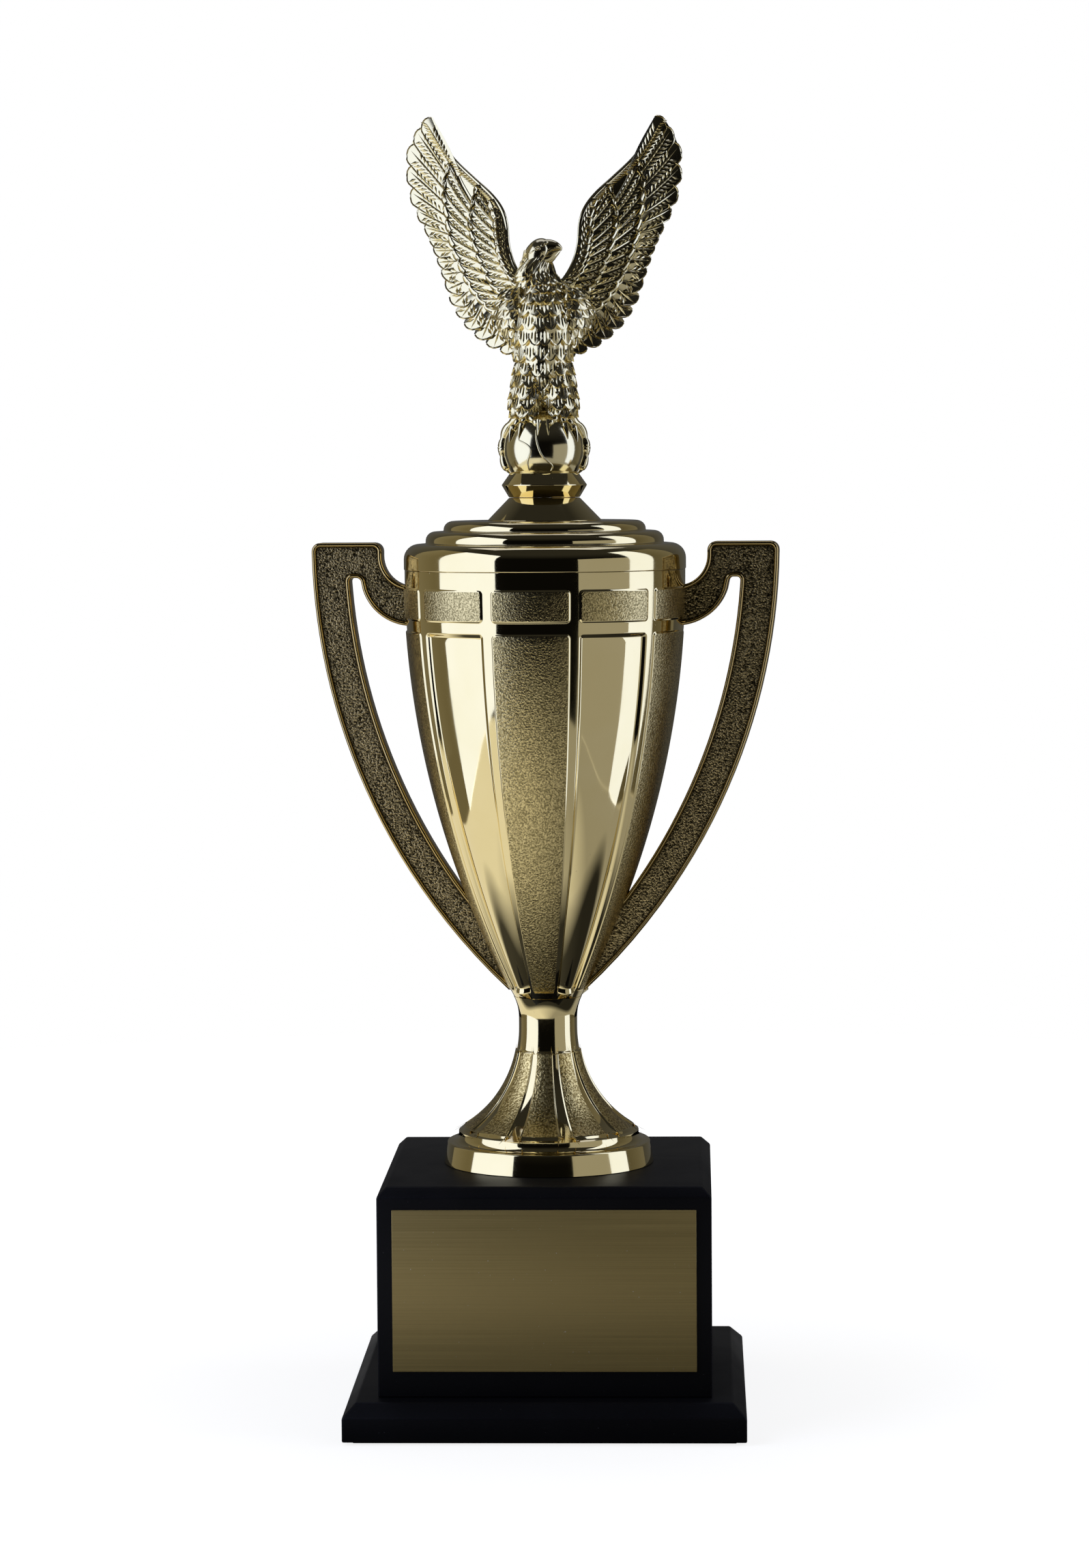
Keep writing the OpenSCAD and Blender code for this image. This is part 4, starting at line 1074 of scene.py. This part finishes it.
def addHead(bm):
    h = head
    skull = bmesh.new()
    turn = Matrix.Rotation(math.radians(h["nod"]), 4, "Y")
    bmesh.ops.create_uvsphere(skull, u_segments=40, v_segments=24, radius=1,
                              matrix=Matrix.Translation(h["skull"]) @ turn @ Matrix.Diagonal((*h["skullR"], 1)))
    stamp(bm, asMesh(skull))
    for part in ("upper", "lower"):
        shares = steps(0, 1, h["beakSteps"])
        radii = [max(smoothValue(h[part + "R"], t), h["thinnest"]) for t in shares]
        addTube(bm, [smoothAt(h[part], t) for t in shares], radii, sides=20)
    ends = h["lineEnds"]
    for points, thick in h["lines"]:
        shares = steps(0, 1, h["lineSteps"])
        radii = [thick * (ends + (1 - ends) * math.sin(math.pi * t)) for t in shares]
        addTube(bm, [smoothAt(points, t) for t in shares], radii, sides=10)
    eye = bmesh.new()
    bmesh.ops.create_uvsphere(eye, u_segments=16, v_segments=10, radius=h["eyeR"], matrix=Matrix.Translation(h["eye"]))
    stamp(bm, asMesh(eye))
    eyelid = [Vector(h["eye"]) + Vector((math.cos(a), 0, h["lidFlat"] * math.sin(a))) * h["lidR"]
              for a in steps(*h["lidSpan"], h["lidSteps"])]
    addTube(bm, eyelid, [h["lidThick"]] * len(eyelid), sides=8)


tail = {
    "count": 7, "root": (0, 5.5, 21), "rootFan": 3.2, "drop": 20.0, "fan": 7.0, "behind": 14.2, "width": 4.6,
    # how the outer feathers come forward and up, how the faces look up, and how far they stand apart
    "forward": 1.2, "upward": 2, "lookUp": 0.35, "stand": 0.5, "standLess": 0.25,
}


def addTail(bm):
    g = tail
    for face in (1, -1):
        for k in range(g["count"]):
            share = k / (g["count"] - 1) * 2 - 1
            root = Vector(g["root"]) + Vector((share * g["rootFan"], 0, 0))
            tip = Vector((share * g["fan"], g["behind"] - abs(share) * g["forward"],
                          g["root"][2] - g["drop"] + abs(share) * g["upward"]))
            outward = Vector((0, face, g["lookUp"] * face)).normalized()
            stand = outward * (g["stand"] - g["standLess"] * abs(share))
            addFeather(bm, root + stand, tip + stand, g["width"], outward, longFeather)


def softPart(*forms):
    # parts with small overlapping feathers, in the duller finish
    bm = bmesh.new()
    for form, rows in forms:
        stamp(bm, ringsOf(form))
        addPlumage(bm, form, rows)
    for face in bm.faces:
        face.material_index = 1
    return bm


def makeEagle():
    bm = softPart((body, bodyRows))
    addHead(bm)
    addTail(bm)
    limb = softPart((leg, legRows), (shoulder, shoulderRows))
    addFoot(limb)
    limbMesh = asMesh(limb)
    for mirror in (1, -1):
        stamp(bm, limbMesh, Matrix.Diagonal((mirror, 1, 1, 1)))
    addWings(bm)
    turned(bm, eagleTurn)
    bmesh.ops.translate(bm, vec=(0, 0, ballZ), verts=bm.verts)
    return bm


placePiece("eagleFigure", makeEagle(), [paleGold, paleSatin], "figure", ["eagle"], 34)


# Hidden fixings keep their solids and get a finish

for name in ("tie_rod", "rod_washer_top", "rod_nut_top", "rod_washer_bottom", "rod_nut_bottom", "block_screws",
             "figure_stud", "lid_washer", "lid_nut", "plate_tape"):
    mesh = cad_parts[name].data
    mesh.materials.clear()
    mesh.materials.append(tape if name == "plate_tape" else steel)
print("fixings finished")


# Studio

studio = {
    "cameraAt": (0.04365, -1.28379, 0.28677), "aim": (-0.00058, 0.0, 0.18847), "lens": 98.244, "roll": -0.4,
    "floorR": 0.72, "floorBack": 0.12, "floorShade": (0.5, 0.48, 0.4, 1),
    "nearGlow": 0.84, "glowFrom": 0.08, "glowTo": 0.35, "fill": 0.003,
    "ceiling": 0.024, "ceilingSpan": (0.3, 0.75), "behind": 0.08, "behindSpan": (0.2, 0.9), "lampPower": 4,
    # the floor as the metal shows it, brighter to the left and ended by the lamps that stand on it
    "leftShine": 0.84, "rightShine": 0.33, "shineSpan": 0.14, "endFade": 0.01,
    # the object's own shade round its base
    "shadeAt": (0.02, 0, 0), "shadeStretch": (0.55, 1, 1), "shadeFrom": 0.13, "shadeTo": 0.185, "inShade": 0.06,
    "floorEnds": (((-1, 0, 0), 0.47), ((0.994, -0.112, 0), 0.461), ((0.872, -0.49, 0), 0.461), ((0, 1, 0), 0.4)),
    # name, place, facing, width, height, brightness and colour
    "softboxes": (("leftBox", (-0.47, -0.3, 0.405), (1, 0, 0), 0.6, 0.81, 0.92, (0.96, 1.1, 1.65)),
                  ("rightBox", (0.458, -0.044, 0.405), (-0.994, 0.112, 0), 0.206, 0.81, 0.88, (0.96, 1.1, 1.65)),
                  ("rightCard", (0.352, -0.315, 0.19), (-0.872, 0.49, 0), 0.388, 0.38, 0.27, (1, 1, 1)),
                  ("leftBack", (-0.47, 0.2, 0.405), (1, 0, 0), 0.4, 0.81, 0.12, (1, 0.9, 0.62)),
                  ("rightBack", (0.47, 0.24, 0.405), (-1, 0, 0), 0.37, 0.81, 0.08, (1, 0.9, 0.62)),
                  ("topBox", (0, 0.7, 2.0), (0, -0.7, -1.8), 1.4, 0.9, 0.5, (0.98, 1.06, 1.5))),
}


def aimAt(obj, target):
    heading = Vector(target) - obj.location
    obj.rotation_euler = heading.to_track_quat("-Z", "Y").to_euler()


def makeCamera():
    lens = bpy.data.cameras.new("photoCamera")
    lens.lens = studio["lens"]
    camera = addObject("photoCamera", lens)
    camera.location = studio["cameraAt"]
    aimAt(camera, studio["aim"])
    camera.rotation_euler.rotate_axis("Z", math.radians(studio["roll"]))
    bpy.context.scene.camera = camera


def makeSoftbox(name, place, facing, width, tall, brightness, colour):
    light = bpy.data.lights.new(name, "AREA")
    light.shape = "RECTANGLE"
    light.size = width
    light.size_y = tall
    light.energy = brightness * studio["lampPower"] * width * tall
    light.color = colour
    lamp = addObject(name, light)
    lamp.location = place
    lamp.visible_camera = False
    aimAt(lamp, lamp.location + Vector(facing))


def emptyTree(owner):
    owner.use_nodes = True
    owner.node_tree.nodes.clear()
    return owner.node_tree


def floorShine(tree, place):
    # how bright the floor is in the metal: from left to right, less in the shade, none past the lamps
    s = studio
    across = addNode(tree, "SeparateXYZ", _0=place).outputs["X"]
    shine = spread(tree, across, -s["shineSpan"], s["shineSpan"], s["leftShine"], s["rightShine"])
    wide = vectorMath(tree, "MULTIPLY", place, s["shadeStretch"], "Vector")
    aside = vectorMath(tree, "DISTANCE", wide, s["shadeAt"], "Value")
    shine = combine(tree, "MULTIPLY", shine, spread(tree, aside, s["shadeFrom"], s["shadeTo"], s["inShade"], 1.0))
    for heading, end in s["floorEnds"]:
        reach = vectorMath(tree, "DOT_PRODUCT", place, heading, "Value")
        shine = combine(tree, "MULTIPLY", shine, spread(tree, reach, end, end + s["endFade"], 1.0, 0.0))
    return shine


def makeFloor():
    bm = bmesh.new()
    bmesh.ops.create_circle(bm, cap_ends=True, segments=96, radius=studio["floorR"],
                           matrix=Matrix.Translation((0, studio["floorBack"], 0)))
    floor = addObject("floor", asMesh(bm))
    material = bpy.data.materials.new("paleFloor")
    tree = emptyTree(material)
    rays = addNode(tree, "LightPath").outputs
    shiny = combine(tree, "MAXIMUM", rays["Is Glossy Ray"], rays["Is Transmission Ray"])
    tone = blendColour(tree, shiny, studio["floorShade"], (0, 0, 0, 1))
    matte = addNode(tree, "BsdfDiffuse", Color=tone)
    # white all over to the camera, but near the object light makes part of it, so that the shadow stays
    place = objectPlace(tree)
    away = vectorMath(tree, "DISTANCE", place, (0, 0, 0), "Value")
    white = spread(tree, away, studio["glowFrom"], studio["glowTo"], studio["nearGlow"], 1.0)
    glow = combine(tree, "ADD", combine(tree, "MULTIPLY", rays["Is Camera Ray"], white),
                   combine(tree, "MULTIPLY", shiny, floorShine(tree, place)))
    emit = addNode(tree, "Emission", Strength=glow)
    both = addNode(tree, "AddShader", _0=matte.outputs[0], _1=emit.outputs[0])
    addNode(tree, "OutputMaterial", Surface=both.outputs[0])
    floor.data.materials.append(material)


def makeWorld():
    world = bpy.data.worlds.new("studioWorld")
    bpy.context.scene.world = world
    tree = emptyTree(world)
    seen = addNode(tree, "LightPath").outputs["Is Camera Ray"]
    # the room round the object: dark in front, a little lighter overhead and behind
    heading = addNode(tree, "TexCoord").outputs["Generated"]
    parts = addNode(tree, "SeparateXYZ", _0=heading).outputs
    dim = combine(tree, "ADD", spread(tree, parts["Z"], *studio["ceilingSpan"], studio["fill"], studio["ceiling"]),
                  spread(tree, parts["Y"], *studio["behindSpan"], 0.0, studio["behind"]))
    room = addNode(tree, "Background", Color=(1, 1, 1, 1), Strength=dim)
    bright = addNode(tree, "Background", Color=(1, 1, 1, 1), Strength=1.0)
    mix = addNode(tree, "MixShader", _0=seen, _1=room.outputs[0], _2=bright.outputs[0])
    addNode(tree, "OutputWorld", Surface=mix.outputs[0])


makeCamera()
for row in studio["softboxes"]:
    makeSoftbox(*row)
makeFloor()
makeWorld()
bpy.context.scene.view_settings.view_transform = "Standard"
print("studio ready")
